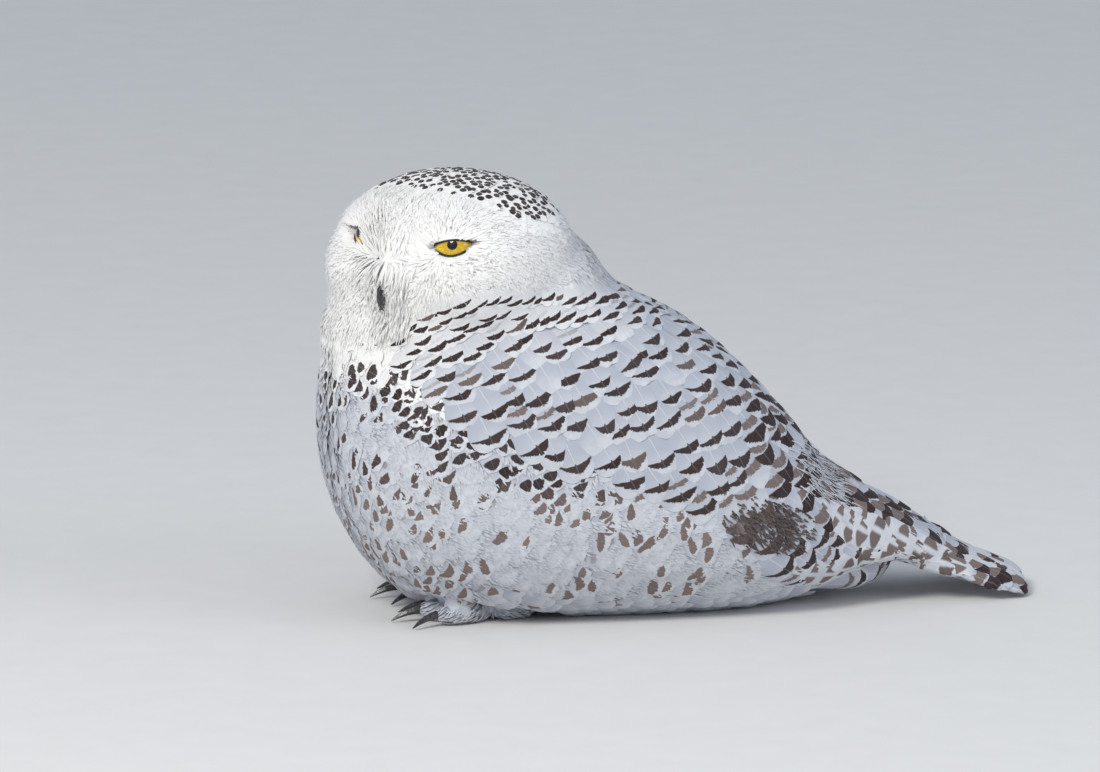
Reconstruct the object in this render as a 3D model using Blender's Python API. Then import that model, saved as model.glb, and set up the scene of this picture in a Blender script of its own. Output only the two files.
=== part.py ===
"""Snowy owl resting on its belly with its head turned to its left, life size, as separate solids.

Metres, +Z up. The bird faces -X, its left side is towards -Y, and it lies on the floor at Z = 0.
The origin is on the floor, under the middle of the bird's length. The solids reach out to the
tips of the plumage.
"""

import math

import bmesh
import bpy
import numpy as np
from mathutils import Matrix, Vector

# Driving dimensions of the whole bird
BREAST_X = -0.240  # foremost point of the breast
TAIL_TIP_X = 0.246
BREAST_HEIGHT = 0.135  # level of the foremost point of the breast
GAP = 0.0003  # clearance between neighbouring solids
FLOOR_SINK = 0.006  # how far the belly's round form would pass the floor, so that it rests on a flat
LOOSE_CHIP = 1e-6  # cubic metres; anything smaller that a cut leaves loose is dropped

# Envelope of body and folded wings: x, height of the back, height of the belly, half width
ENVELOPE = (
    (BREAST_X, BREAST_HEIGHT, BREAST_HEIGHT, 0.000),
    (-0.234, 0.180, 0.086, 0.048),
    (-0.214, 0.200, 0.042, 0.078),
    (-0.180, 0.218, 0.010, 0.097),
    (-0.130, 0.232, -0.004, 0.109),
    (-0.060, 0.227, -FLOOR_SINK, 0.113),
    (0.000, 0.202, -FLOOR_SINK, 0.108),
    (0.045, 0.166, -0.004, 0.098),
    (0.080, 0.127, 0.002, 0.083),
    (0.105, 0.095, 0.010, 0.068),
    (0.150, 0.066, 0.019, 0.051),
    (0.192, 0.039, 0.017, 0.035),
    (0.208, 0.027, 0.027, 0.000),
)
# The trunk leaves the envelope behind the loins, where only the wings go on
TRUNK_KEEPS = 9
RUMP = (
    (0.106, 0.086, 0.004, 0.058),
    (0.136, 0.062, 0.006, 0.038),
    (0.154, 0.028, 0.028, 0.000),
)
WIDEST_SHARE = 0.44  # level of the greatest width, as a share of the section's height
UPPER_POWER, LOWER_POWER = 2.45, 2.2  # 2 is an ellipse, more is squarer

# Folded wing on the envelope: x, angle of its lower edge, angle of its upper edge (degrees, 0 = widest level)
WING_EDGES = (
    (-0.184, 2.0, 20.0),
    (-0.176, -14.0, 40.0),
    (-0.150, -34.0, 62.0),
    (-0.100, -44.0, 72.0),
    (-0.030, -46.0, 76.0),
    (0.050, -42.0, 78.0),
    (0.100, -30.0, 78.0),
    (0.150, -14.0, 76.0),
    (0.192, 2.0, 70.0),
    (0.203, 16.0, 54.0),
)
WING_PROUD = 0.0015
WING_THICKNESS = 0.014
WING_TIP_THICKNESS = 0.0045
WING_EDGE_SHARE = 0.30  # thickness at the wing's rim, as a share of that in its middle

# Head: its own frame has F forward out of the face, L to the bird's left and U up
HEAD_CENTRE = Vector((-0.1482, -0.010, 0.243))
HEAD_TURN = 43.0  # degrees to the bird's left of its body
HEAD_FRONT, HEAD_BACK = 0.074, 0.071
HEAD_HALF_WIDTH = 0.083
HEAD_UP, HEAD_DOWN = 0.061, 0.066
HEAD_POWER = 2.2

EYE_RADIUS = 0.0165
EYE_FORWARD, EYE_SIDE, EYE_LEVEL = 0.0432, 0.0320, 0.0188
EYE_SPLAY = 26.0  # degrees that each eye looks outwards
# Almond opening of the lids, from the line of sight
LID_HALF_LENGTH = 0.0145
LID_RISE, LID_DROP = 0.0050, 0.0060
LID_REACH = 0.030
LID_STEPS = 7

# Soft forms of the face: forward lift, side, level, spread to the side, spread in height
FACE_FORMS = (
    (0.0100, 0.000, 0.012, 0.0110, 0.0230),  # bridge between the eyes
    (0.0075, 0.000, -0.014, 0.0200, 0.0160),  # bristles round the bill
    (0.0115, 0.060, -0.004, 0.0260, 0.0400),  # flat side of the facial disc
    (-0.0115, 0.043, 0.0185, 0.0240, 0.0115),  # hollow of the eye
)

# Hooked bill in the head's frame: points down its ridge (forward, level) and its half width and half depth
BILL_UPPER = (
    (0.0660, 0.0030, 0.0070, 0.0060),
    (0.0755, -0.0025, 0.0072, 0.0068),
    (0.0815, -0.0110, 0.0062, 0.0056),
    (0.0825, -0.0205, 0.0040, 0.0034),
    (0.0796, -0.0285, 0.0010, 0.0010),
)
BILL_LOWER = (
    (0.0640, -0.0130, 0.0052, 0.0030),
    (0.0720, -0.0180, 0.0046, 0.0028),
    (0.0770, -0.0245, 0.0026, 0.0020),
)

# Neck: height, centre in x, half length, half width of each level section
NECK = (
    (0.150, -0.128, 0.000, 0.000),
    (0.160, -0.129, 0.085, 0.065),
    (0.180, -0.133, 0.107, 0.082),
    (0.200, -0.134, 0.106, 0.087),
    (0.222, -0.134, 0.096, 0.085),
    (0.246, -0.136, 0.082, 0.080),
    (0.268, -0.139, 0.062, 0.062),
    (0.281, -0.142, 0.038, 0.038),
    (0.287, -0.143, 0.000, 0.000),
)
# Slanting level at which the white neck comes out of the barred mantle
MANTLE_POINT = Vector((-0.100, 0.0, 0.218))
MANTLE_NORMAL = Vector((-0.26, 0.0, 1.0)).normalized()

# Closed tail: x, level of its middle, half width, half thickness
TAIL = (
    (0.098, 0.050, 0.020, 0.0075),
    (0.130, 0.043, 0.034, 0.0085),
    (0.170, 0.031, 0.044, 0.0075),
    (0.210, 0.0175, 0.050, 0.0055),
    (0.236, 0.0090, 0.046, 0.0038),
    (TAIL_TIP_X, 0.0040, 0.028, 0.0022),
)
TAIL_CROWN = 0.010  # how far the tail's middle stands above its edges
TAIL_SINK = 0.0016  # how far the tail's edges would pass the floor, so that they rest on flats

# Feathered feet, half hidden under the breast
FOOT_X, FOOT_SIDE, FOOT_LEVEL = -0.128, 0.040, 0.0085
TOE_TURNS = (-24.0, 0.0, 24.0, 180.0)  # degrees from straight ahead
TOE_LENGTHS = (0.046, 0.050, 0.046, 0.026)
TOE_HALF_WIDTH, TOE_HALF_HEIGHT = 0.0098, 0.0090
SHANK_MIDDLE = Vector((0.006, 0.0, 0.024))  # from the ankle's place on the floor
SHANK_HALF_SIZES = Vector((0.016, 0.0145, 0.028))
# Hollow under the breast in which each foot stands
WELL_MIDDLE = Vector((-0.022, 0.0, -0.0006))
WELL_TURN = 4.0  # degrees that the front of each hollow turns outwards
WELL_HALF_SIZES = Vector((0.075, 0.0365, 0.0235))
TOE_OVERRUN = 0.004  # how far the toe's round end passes the claw's root
CLAW_LENGTH, CLAW_RADIUS, CLAW_DROP = 0.021, 0.0028, 0.0070
CLAW_BLUNTNESS = 0.14

WHITE = (0.86, 0.86, 0.85)
BARRED_WHITE = (0.74, 0.72, 0.70)
COLOURS = {
    "head": (WHITE, 0.8),
    "neck": (WHITE, 0.8),
    "trunk": (BARRED_WHITE, 0.8),
    "wing": (BARRED_WHITE, 0.7),
    "tail": (BARRED_WHITE, 0.7),
    "leg": (WHITE, 0.85),
    "eye": ((0.80, 0.52, 0.03), 0.1),
    "bill": ((0.03, 0.03, 0.035), 0.35),
    "claw": ((0.02, 0.02, 0.02), 0.3),
}


# Collections, materials and small mesh helpers


def clear_scene():
    for found in list(bpy.data.objects):
        bpy.data.objects.remove(found)


def make_collection(name, hidden=False):
    made = bpy.data.collections.new(name)
    bpy.context.scene.collection.children.link(made)
    made.hide_render = hidden
    return made


def make_material(kind):
    colour, roughness = COLOURS[kind]
    material = bpy.data.materials.new(kind)
    material.use_nodes = True
    shader = material.node_tree.nodes["Principled BSDF"]
    shader.inputs["Base Color"].default_value = (*colour, 1.0)
    shader.inputs["Roughness"].default_value = roughness
    shader.inputs["Metallic"].default_value = 0.0
    return material


def add_object(name, mesh, kind):
    made = bpy.data.objects.new(name, mesh)
    mesh.materials.append(MATERIALS[kind])
    mesh.shade_smooth()
    OWL.objects.link(made)
    return made


def mesh_from_bmesh(name, built):
    """Mesh of triangles, so that a solid and the cutter grown from it share the same facets."""
    bmesh.ops.recalc_face_normals(built, faces=built.faces)
    bmesh.ops.triangulate(built, faces=built.faces)
    mesh = bpy.data.meshes.new(name)
    built.to_mesh(mesh)
    built.free()
    return mesh


def smooth_rows(rows, steps):
    """Smooth curve through the rows between the first and the last one, which only steer its ends."""
    rows = np.array(rows, float)
    spans = np.linalg.norm(np.diff(rows, axis=0), axis=1) ** 0.5
    knots = np.concatenate([[0.0], np.cumsum(spans)])
    slopes = (rows[2:] - rows[:-2]) / (knots[2:] - knots[:-2])[:, None]
    found = []
    for i in range(1, len(rows) - 2):
        width = knots[i + 1] - knots[i]
        for t in np.arange(steps) / steps:
            found.append(
                (2 * t**3 - 3 * t**2 + 1) * rows[i]
                + (t**3 - 2 * t**2 + t) * width * slopes[i - 1]
                + (3 * t**2 - 2 * t**3) * rows[i + 1]
                + (t**3 - t**2) * width * slopes[i]
            )
    found.append(rows[-2])
    return np.array(found)


def loft(name, rings, first_point, last_point):
    """Closed mesh through rings of equally many points, closed by a point at each end."""
    built = bmesh.new()
    loops = [[built.verts.new(p) for p in ring] for ring in rings]
    count = len(loops[0])
    for near, far in zip(loops, loops[1:]):
        for i in range(count):
            j = (i + 1) % count
            built.faces.new((near[i], near[j], far[j], far[i]))
    for ring, point in ((loops[0], first_point), (loops[-1], last_point)):
        pole = built.verts.new(point)
        for i in range(count):
            built.faces.new((pole, ring[i], ring[(i + 1) % count]))
    return mesh_from_bmesh(name, built)


def superellipse(angle, power):
    """Point on a rounded unit square, as (cosine side, sine side)."""
    c, s = math.cos(angle), math.sin(angle)
    return (
        math.copysign(abs(c) ** (2 / power), c),
        math.copysign(abs(s) ** (2 / power), s),
    )


# Booleans that leave a clear gap


def grown_copy(source, amount):
    """Cutter with the shape of source, moved outwards by amount."""
    mesh = source.data.copy()
    normals = [v.normal.copy() for v in mesh.vertices]
    for vertex, normal in zip(mesh.vertices, normals):
        vertex.co += normal * amount
    cutter = bpy.data.objects.new(source.name + "_cutter", mesh)
    cutter.hide_render = True
    cutter.display_type = "WIRE"
    CUTTERS.objects.link(cutter)
    return cutter


def apply_boolean(target, cutter, operation):
    modifier = target.modifiers.new("cut", "BOOLEAN")
    modifier.operation = operation
    modifier.solver = "EXACT"
    modifier.object = cutter
    evaluated = target.evaluated_get(bpy.context.evaluated_depsgraph_get())
    result = bpy.data.meshes.new_from_object(evaluated)
    target.modifiers.clear()
    target.data = result


def keep_clear(target, *others):
    for other in others:
        apply_boolean(target, grown_copy(other, GAP), "DIFFERENCE")


def cut_by_plane(target, point, outwards):
    """Takes away what lies past a plane through point, and closes the cut with a flat."""
    built = bmesh.new()
    built.from_mesh(target.data)
    geometry = list(built.verts) + list(built.edges) + list(built.faces)
    cut = bmesh.ops.bisect_plane(
        built, geom=geometry, plane_co=point, plane_no=outwards, clear_outer=True, dist=1e-6
    )
    edges = [e for e in cut["geom_cut"] if isinstance(e, bmesh.types.BMEdge)]
    bmesh.ops.holes_fill(built, edges=edges)
    bmesh.ops.dissolve_degenerate(built, edges=built.edges, dist=1e-6)
    bmesh.ops.triangulate(built, faces=[f for f in built.faces if len(f.verts) > 4])
    bmesh.ops.recalc_face_normals(built, faces=built.faces)
    built.to_mesh(target.data)
    built.free()
    target.data.shade_smooth()


def cut_at_floor(target):
    cut_by_plane(target, Vector(), Vector((0, 0, -1)))


def connected_pieces(built):
    """Lists of the faces of each separate piece."""
    left = set(built.faces)
    pieces = []
    while left:
        piece = [left.pop()]
        for face in piece:
            for edge in face.edges:
                for neighbour in edge.link_faces:
                    if neighbour in left:
                        left.discard(neighbour)
                        piece.append(neighbour)
        pieces.append(piece)
    return pieces


def drop_loose_chips(target):
    """Deletes the slivers that a cut along nearly matching surfaces leaves behind."""
    built = bmesh.new()
    built.from_mesh(target.data)
    bmesh.ops.triangulate(built, faces=built.faces)
    for piece in connected_pieces(built):
        corners = [[loop.vert.co for loop in face.loops] for face in piece]
        volume = sum(a.dot(b.cross(c)) for a, b, c in corners) / 6
        if abs(volume) < LOOSE_CHIP:
            bmesh.ops.delete(built, geom=piece, context="FACES")
    built.to_mesh(target.data)
    built.free()


def mirrored(source, name, kind):
    """The same solid on the bird's other side."""
    mesh = source.data.copy()
    mesh.transform(Matrix.Scale(-1, 4, (0, 1, 0)))
    mesh.flip_normals()
    mesh.materials.clear()
    return add_object(name, mesh, kind)


# Trunk, wings and tail


def section_point(row, angle, outwards=0.0):
    """Point of the envelope's section at a row, moved out from it. Angle 0 is the bird's left side."""
    x, top, bottom, half_width = row
    level = bottom + (top - bottom) * WIDEST_SHARE
    side, height = superellipse(angle, UPPER_POWER if angle % (2 * math.pi) < math.pi else LOWER_POWER)
    reach = (top - level) if height > 0 else (level - bottom)
    y = -side * (half_width + outwards)
    z = level + height * (reach + outwards)
    return Vector((x, y, z))


def with_round_ends(rows):
    """Adds a mirrored row past each end point, so that the form closes round and not to a spike."""

    def mirror(row):
        x, top, bottom, half_width = row
        return (x, bottom, top, -half_width)

    return [mirror(rows[1]), *rows, mirror(rows[-2])]


def make_trunk(around=20, steps=2):
    rows = smooth_rows(with_round_ends(ENVELOPE[:TRUNK_KEEPS] + RUMP), steps)
    angles = [2 * math.pi * i / around for i in range(around)]
    rings = [[section_point(row, a) for a in angles] for row in rows[1:-1]]
    ends = [Vector((row[0], 0, row[1])) for row in (rows[0], rows[-1])]
    return add_object("trunk", loft("trunk", rings, *ends), "trunk")


def envelope_row(x):
    rows = smooth_rows(with_round_ends(ENVELOPE), 6)
    return [x] + [float(np.interp(x, rows[:, 0], rows[:, k])) for k in (1, 2, 3)]


def make_left_wing(steps=2, across=7, inner_across=4):
    """Slab on the envelope's side, thick in the middle and thin at its rim, that runs out into a blade."""
    first, last = WING_EDGES[0], WING_EDGES[-1]
    edges = smooth_rows([first, *WING_EDGES, last], steps)
    rings = []
    for i, (x, low, high) in enumerate(edges):
        row = envelope_row(x)
        along = i / (len(edges) - 1)
        body = WING_THICKNESS + (WING_TIP_THICKNESS - WING_THICKNESS) * along
        end_fade = max(WING_EDGE_SHARE, min(1.0, math.sin(math.pi * along) ** 0.5))
        ring = []
        for j in range(across + 1):
            angle = math.radians(low + (high - low) * j / across)
            ring.append(section_point(row, angle, WING_PROUD))
        for j in range(inner_across, -1, -1):
            t = j / inner_across
            angle = math.radians(low + (high - low) * t)
            rim_fade = WING_EDGE_SHARE + (1 - WING_EDGE_SHARE) * math.sin(math.pi * t) ** 0.6
            thickness = body * min(rim_fade, end_fade)
            ring.append(section_point(row, angle, WING_PROUD - thickness))
        rings.append(ring)
    ends = [sum(ring, Vector()) / len(ring) for ring in (rings[0], rings[-1])]
    mesh = loft("wing_left", rings, *ends)
    return add_object("wing_left", mesh, "wing")


def make_tail(steps=2, around=16):
    first, last = TAIL[0], TAIL[-1]
    rows = smooth_rows([first, *TAIL, last], steps)
    rings = []
    for x, level, half_width, half_thickness in rows:
        ring = []
        for i in range(around):
            side, height = superellipse(2 * math.pi * i / around, 2.6)
            arch = TAIL_CROWN * (1 - side * side) - TAIL_CROWN * 0.5
            lift = max(arch, half_thickness - level - TAIL_SINK)
            ring.append(Vector((x, side * half_width, level + lift + height * half_thickness)))
        rings.append(ring)
    ends = [sum(ring, Vector()) / len(ring) for ring in (rings[0], rings[-1])]
    tail = add_object("tail", loft("tail", rings, *ends), "tail")
    cut_at_floor(tail)
    return tail


# Neck and head


def make_neck(around=22, steps=1):
    def mirror(row):
        return (row[0], row[1], -row[2], -row[3])

    rows = smooth_rows([mirror(NECK[1]), *NECK, mirror(NECK[-2])], steps)
    rings = []
    for z, centre, half_length, half_width in rows[1:-1]:
        ring = []
        for i in range(around):
            along, side = superellipse(2 * math.pi * i / around, 2.0)
            ring.append(Vector((centre + along * half_length, side * half_width, z)))
        rings.append(ring)
    ends = [Vector((row[1], 0, row[0])) for row in (rows[0], rows[-1])]
    return add_object("neck_form", loft("neck_form", rings, *ends), "neck")


def split_at_mantle(torso):
    """Leaves the torso's lower part and returns the neck as its upper part."""
    neck = add_object("neck", torso.data.copy(), "neck")
    cut_by_plane(neck, MANTLE_POINT + MANTLE_NORMAL * GAP, -MANTLE_NORMAL)
    cut_by_plane(torso, MANTLE_POINT, MANTLE_NORMAL)
    return neck


def head_frame():
    """Matrix from the head's own frame (forward, left, up) to the bird's."""
    turn = Matrix.Rotation(math.radians(180 + HEAD_TURN), 4, "Z")
    return Matrix.Translation(HEAD_CENTRE) @ turn


def head_surface(polar, round_angle):
    """Point of the head in its own frame. Polar is 0 at the face and pi at the back, round_angle 0 is left."""
    forward = math.cos(polar)
    left = math.sin(polar) * math.cos(round_angle)
    up = math.sin(polar) * math.sin(round_angle)
    scales = (
        HEAD_FRONT if forward > 0 else HEAD_BACK,
        HEAD_HALF_WIDTH,
        HEAD_UP if up > 0 else HEAD_DOWN,
    )
    length = sum(abs(a) ** HEAD_POWER for a in (forward, left, up)) ** (1 / HEAD_POWER)
    point = Vector((forward * scales[0], left * scales[1], up * scales[2])) / length
    if forward > 0:
        for lift, side, level, spread_side, spread_up in FACE_FORMS:
            sideways = (abs(point.y) - side) / spread_side
            upwards = (point.z - level) / spread_up
            point.x += lift * math.exp(-sideways * sideways - upwards * upwards)
    return point


def make_head(name, rings_count=18, around=28):
    rings = []
    for i in range(1, rings_count):
        polar = math.pi * (i / rings_count) ** 1.3
        rings.append([head_surface(polar, 2 * math.pi * j / around) for j in range(around)])
    mesh = loft(name, rings, head_surface(0, 0), head_surface(math.pi, 0))
    mesh.transform(head_frame())
    return add_object(name, mesh, "head")


def eye_frame(side):
    """Matrix from an eye's own frame, which looks along +X, to the bird's."""
    sight = Matrix.Rotation(side * math.radians(EYE_SPLAY), 4, "Z")
    place = Matrix.Translation((EYE_FORWARD, side * EYE_SIDE, EYE_LEVEL))
    return head_frame() @ place @ sight


def make_eye(name, side):
    """Eyeball with its pole on the line of sight. Side is 1 for the left eye and -1 for the right."""
    bpy.ops.mesh.primitive_uv_sphere_add(segments=14, ring_count=9, radius=EYE_RADIUS)
    eye = bpy.context.object
    mesh = eye.data
    bpy.data.objects.remove(eye)
    mesh.transform(eye_frame(side) @ Matrix.Rotation(math.pi / 2, 4, "Y"))
    mesh.name = name
    return add_object(name, mesh, "eye")


def cut_lids(head, side):
    """Almond opening through the head over one eye. Side is 1 for the left eye and -1 for the right."""
    built = bmesh.new()
    outline = []
    for i in range(2 * LID_STEPS):
        angle = math.pi * i / LID_STEPS
        rise = LID_RISE if angle < math.pi else LID_DROP
        along = math.cos(angle)
        height = math.copysign(rise * (1 - along * along), math.sin(angle))
        outline.append(built.verts.new((0, along * LID_HALF_LENGTH, height)))
    front = bmesh.ops.extrude_face_region(built, geom=[built.faces.new(outline)])
    moved = [v for v in front["geom"] if isinstance(v, bmesh.types.BMVert)]
    bmesh.ops.translate(built, vec=(LID_REACH, 0, 0), verts=moved)
    mesh = mesh_from_bmesh("lid_opening", built)
    mesh.transform(eye_frame(side))
    cutter = bpy.data.objects.new("lid_opening", mesh)
    cutter.hide_render = True
    cutter.display_type = "WIRE"
    CUTTERS.objects.link(cutter)
    apply_boolean(head, cutter, "DIFFERENCE")


def make_bill(name, rows, around=12, steps=2):
    """Horn of the bill, as ellipses square to its own bent middle line."""
    rows = smooth_rows([rows[0], *rows, rows[-1]], steps)
    rings = []
    for i, (forward, level, half_width, half_depth) in enumerate(rows):
        before, after = rows[max(i - 1, 0)], rows[min(i + 1, len(rows) - 1)]
        along = Vector((after[0] - before[0], 0, after[1] - before[1])).normalized()
        across = Vector((-along.z, 0, along.x))
        ring = []
        for j in range(around):
            angle = 2 * math.pi * j / around
            side = Vector((0, 1, 0)) * math.cos(angle) * half_width
            ring.append(Vector((forward, 0, level)) + side + across * math.sin(angle) * half_depth)
        rings.append(ring)
    ends = [Vector((row[0], 0, row[1])) for row in (rows[0], rows[-1])]
    mesh = loft(name, rings, *ends)
    mesh.transform(head_frame())
    return add_object(name, mesh, "bill")


# Legs and claws


def add_ellipsoid(name, centre, half_sizes, turn=0.0, around=10, rings=6):
    """Ellipsoid whose long side lies ahead of the bird, turned about the vertical by turn degrees."""
    built = bmesh.new()
    bmesh.ops.create_uvsphere(built, u_segments=around, v_segments=rings, radius=1.0)
    place = Matrix.Translation(centre) @ Matrix.Rotation(math.radians(turn), 4, "Z")
    bmesh.ops.transform(built, matrix=place @ Matrix.Diagonal((*half_sizes, 1)), verts=built.verts)
    return add_object(name, mesh_from_bmesh(name, built), "leg")


def foot_place(side):
    """Point of the floor under the ankle. Side is 1 for the left foot and -1 for the right."""
    return Vector((FOOT_X, -side * FOOT_SIDE, 0))


def toe_direction(turn):
    """Unit vector of a toe in the bird's frame. Turn 0 points straight ahead, to -X."""
    angle = math.radians(turn)
    return Vector((-math.cos(angle), -math.sin(angle), 0))


def make_left_leg():
    """Feathered shank and four toes in one piece, with flat soles."""
    ankle = foot_place(1)
    leg = add_ellipsoid("leg_left", ankle + SHANK_MIDDLE, SHANK_HALF_SIZES)
    ankle.z = FOOT_LEVEL
    for turn, length in zip(TOE_TURNS, TOE_LENGTHS):
        middle = ankle + toe_direction(turn) * length / 2
        half_sizes = (length / 2 + TOE_OVERRUN, TOE_HALF_WIDTH, TOE_HALF_HEIGHT)
        toe = add_ellipsoid("toe", middle, half_sizes, turn)
        apply_boolean(leg, toe, "UNION")
        bpy.data.objects.remove(toe)
    cut_at_floor(leg)
    return leg


def clear_trunk_of_leg(trunk, side):
    """Hollows the belly round a foot and its shank, with plain convex cutters."""
    place = foot_place(side)
    shank = add_ellipsoid("shank_form", place + SHANK_MIDDLE, SHANK_HALF_SIZES)
    well = add_ellipsoid("foot_well", place + WELL_MIDDLE, WELL_HALF_SIZES, side * WELL_TURN)
    keep_clear(trunk, shank, well)
    bpy.data.objects.remove(shank)
    bpy.data.objects.remove(well)


def make_claw(name, turn, length):
    """Claw that leaves the end of a left toe and bends down to the floor."""
    start = foot_place(1) + toe_direction(turn) * length
    start.z = FOOT_LEVEL
    curve = bpy.data.curves.new(name, "CURVE")
    curve.dimensions = "3D"
    curve.bevel_depth = CLAW_RADIUS
    curve.bevel_resolution = 1
    curve.use_fill_caps = True
    points = 5
    spline = curve.splines.new("POLY")
    spline.points.add(points - 1)
    for i, point in enumerate(spline.points):
        t = i / (points - 1)
        place = start + toe_direction(turn) * CLAW_LENGTH * t
        place.z -= CLAW_DROP * t * t
        point.co = (*place, 1.0)
        point.radius = (1 - t) ** 0.7 + CLAW_BLUNTNESS
    holder = bpy.data.objects.new("claw_curve", curve)
    bpy.context.scene.collection.objects.link(holder)
    evaluated = holder.evaluated_get(bpy.context.evaluated_depsgraph_get())
    mesh = bpy.data.meshes.new_from_object(evaluated)
    bpy.data.objects.remove(holder)
    built = bmesh.new()
    built.from_mesh(mesh)
    bmesh.ops.remove_doubles(built, verts=built.verts, dist=1e-6)
    mesh = mesh_from_bmesh(name, built)
    return add_object(name, mesh, "claw")


# Assembly


def build_head_group():
    head = make_head("head")
    eyes = [make_eye("eye_left", 1), make_eye("eye_right", -1)]
    bill_upper = make_bill("bill_upper", BILL_UPPER)
    bill_lower = make_bill("bill_lower", BILL_LOWER)
    keep_clear(bill_lower, bill_upper)
    keep_clear(head, *eyes, bill_upper, bill_lower)
    for side in (1, -1):
        cut_lids(head, side)


def build_legs():
    """Both feathered legs with their claws. Each claw is cut back from its toe."""
    left = make_left_leg()
    mirrored(left, "leg_right", "leg")
    for i, (turn, length) in enumerate(zip(TOE_TURNS, TOE_LENGTHS)):
        claw = make_claw(f"claw_left_{i + 1}", turn, length)
        keep_clear(claw, left)
        mirrored(claw, f"claw_right_{i + 1}", "claw")


def build_torso(whole_head, neck_form):
    """Trunk and neck, hollowed for the head."""
    trunk = make_trunk()
    apply_boolean(trunk, neck_form, "UNION")
    cut_at_floor(trunk)
    neck = split_at_mantle(trunk)
    keep_clear(neck, whole_head)
    keep_clear(trunk, whole_head)
    return trunk, neck


def build_owl():
    whole_head = make_head("head_form")
    neck_form = make_neck()
    trunk, neck = build_torso(whole_head, neck_form)
    build_head_group()
    build_legs()
    tail = make_tail()
    left_wing = make_left_wing()
    right_wing = mirrored(left_wing, "wing_right", "wing")
    keep_clear(trunk, left_wing, right_wing, tail)
    for side in (1, -1):
        clear_trunk_of_leg(trunk, side)
    for wing in (left_wing, right_wing):
        keep_clear(wing, neck_form, whole_head, tail)
        cut_by_plane(wing, MANTLE_POINT, MANTLE_NORMAL)
    bpy.data.objects.remove(whole_head)
    bpy.data.objects.remove(neck_form)
    for cut_piece in (trunk, neck, left_wing, right_wing):
        drop_loose_chips(cut_piece)


def centre_over_floor():
    """Moves every solid along X, so that the origin is under the middle of the bird's length."""
    corners = [v.co.x for solid in OWL.objects for v in solid.data.vertices]
    shift = Matrix.Translation((-(min(corners) + max(corners)) / 2, 0, 0))
    for solid in OWL.objects:
        solid.data.transform(shift)


clear_scene()
OWL = make_collection("snowy_owl")
CUTTERS = make_collection("cutters", hidden=True)
MATERIALS = {kind: make_material(kind) for kind in COLOURS}
build_owl()
centre_over_floor()
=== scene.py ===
"""A still snowy owl, life size: one skin, eyes, lids, bill and a coat of solid feathers, as an add-on."""

import math

import bpy
import numpy as np
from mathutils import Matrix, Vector
from mathutils.bvhtree import BVHTree
from mathutils.kdtree import KDTree


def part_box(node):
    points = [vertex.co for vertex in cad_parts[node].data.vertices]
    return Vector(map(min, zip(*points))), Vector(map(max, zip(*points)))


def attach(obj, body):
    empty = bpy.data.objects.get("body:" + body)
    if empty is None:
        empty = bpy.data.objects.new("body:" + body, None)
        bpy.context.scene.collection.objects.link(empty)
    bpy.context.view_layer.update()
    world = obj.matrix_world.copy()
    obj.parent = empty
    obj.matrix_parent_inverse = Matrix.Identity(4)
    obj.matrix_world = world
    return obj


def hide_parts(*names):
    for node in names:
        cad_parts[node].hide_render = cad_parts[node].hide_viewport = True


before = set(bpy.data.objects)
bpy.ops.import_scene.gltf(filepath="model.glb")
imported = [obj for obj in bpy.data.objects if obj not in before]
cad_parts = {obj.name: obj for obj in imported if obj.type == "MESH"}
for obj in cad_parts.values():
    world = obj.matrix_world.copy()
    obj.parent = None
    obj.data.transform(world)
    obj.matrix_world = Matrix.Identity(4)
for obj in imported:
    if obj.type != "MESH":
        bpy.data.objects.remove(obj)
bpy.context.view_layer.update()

bl_info = {
    "name": "Snowy Owl",
    "version": (1, 0, 0),
    "blender": (4, 5, 0),
    "location": "3D View > Sidebar > Owl",
    "description": "Skin, eyes, bill and feathers of a life-size snowy owl at rest",
    "category": "Object",
}

FLESH = ("head", "neck", "trunk", "tail", "wing_left", "wing_right", "leg_left", "leg_right")
EYES = ("eye_left", "eye_right")
UP = np.array((0.0, 0.0, 1.0))


def middle(node):
    low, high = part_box(node)
    return np.array((low + high) / 2)


# The head's own axes, from the two eyes: left, forward and up meet at the head's middle.
EYE_FORWARD = 0.0432
EYE_LEVEL = 0.0188
EYE_SPLAY = math.radians(26)
EYE_LIFT = math.radians(14)
EYE_BALL = 0.0165
LID_HALF_LENGTH = 0.0146
LID_RISE = 0.0025
LID_DROP = 0.0068
LID_TILT = 0.11
CORNER_HEIGHT = 0.0016
CORNER_REACH = 0.0045
EYE_MIDDLES = {1: middle("eye_left"), -1: middle("eye_right")}
LEFT = (EYE_MIDDLES[1] - EYE_MIDDLES[-1]) * (1, 1, 0)
LEFT = LEFT / np.linalg.norm(LEFT)
FORWARD = np.cross(LEFT, UP)
HEAD_MIDDLE = (EYE_MIDDLES[1] + EYE_MIDDLES[-1]) / 2 - FORWARD * EYE_FORWARD - UP * EYE_LEVEL

# The barred cape lies between an arched line under the white hood and a line that falls along the flank.
CAPE_START = -0.200
CAPE_FOOT = 0.197
HOOD_FRONT = 0.186
HOOD_ARCH = (-0.115, 0.232)
HOOD_BACK = -0.015
CAP_EDGE = 0.0515

# The coat takes no more than this share of a thin part, and these depths at the lids and in their opening.
THIN_SHARE = 0.32
RIM_DEPTH = 0.0004
OPENING_DEPTH = 0.003

# Ridge of the coverts over the tail: its height where it starts, and its fall along the body.
RIDGE_START = 0.110
RIDGE_HEIGHT = 0.0885
RIDGE_FALL = 0.65

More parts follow.
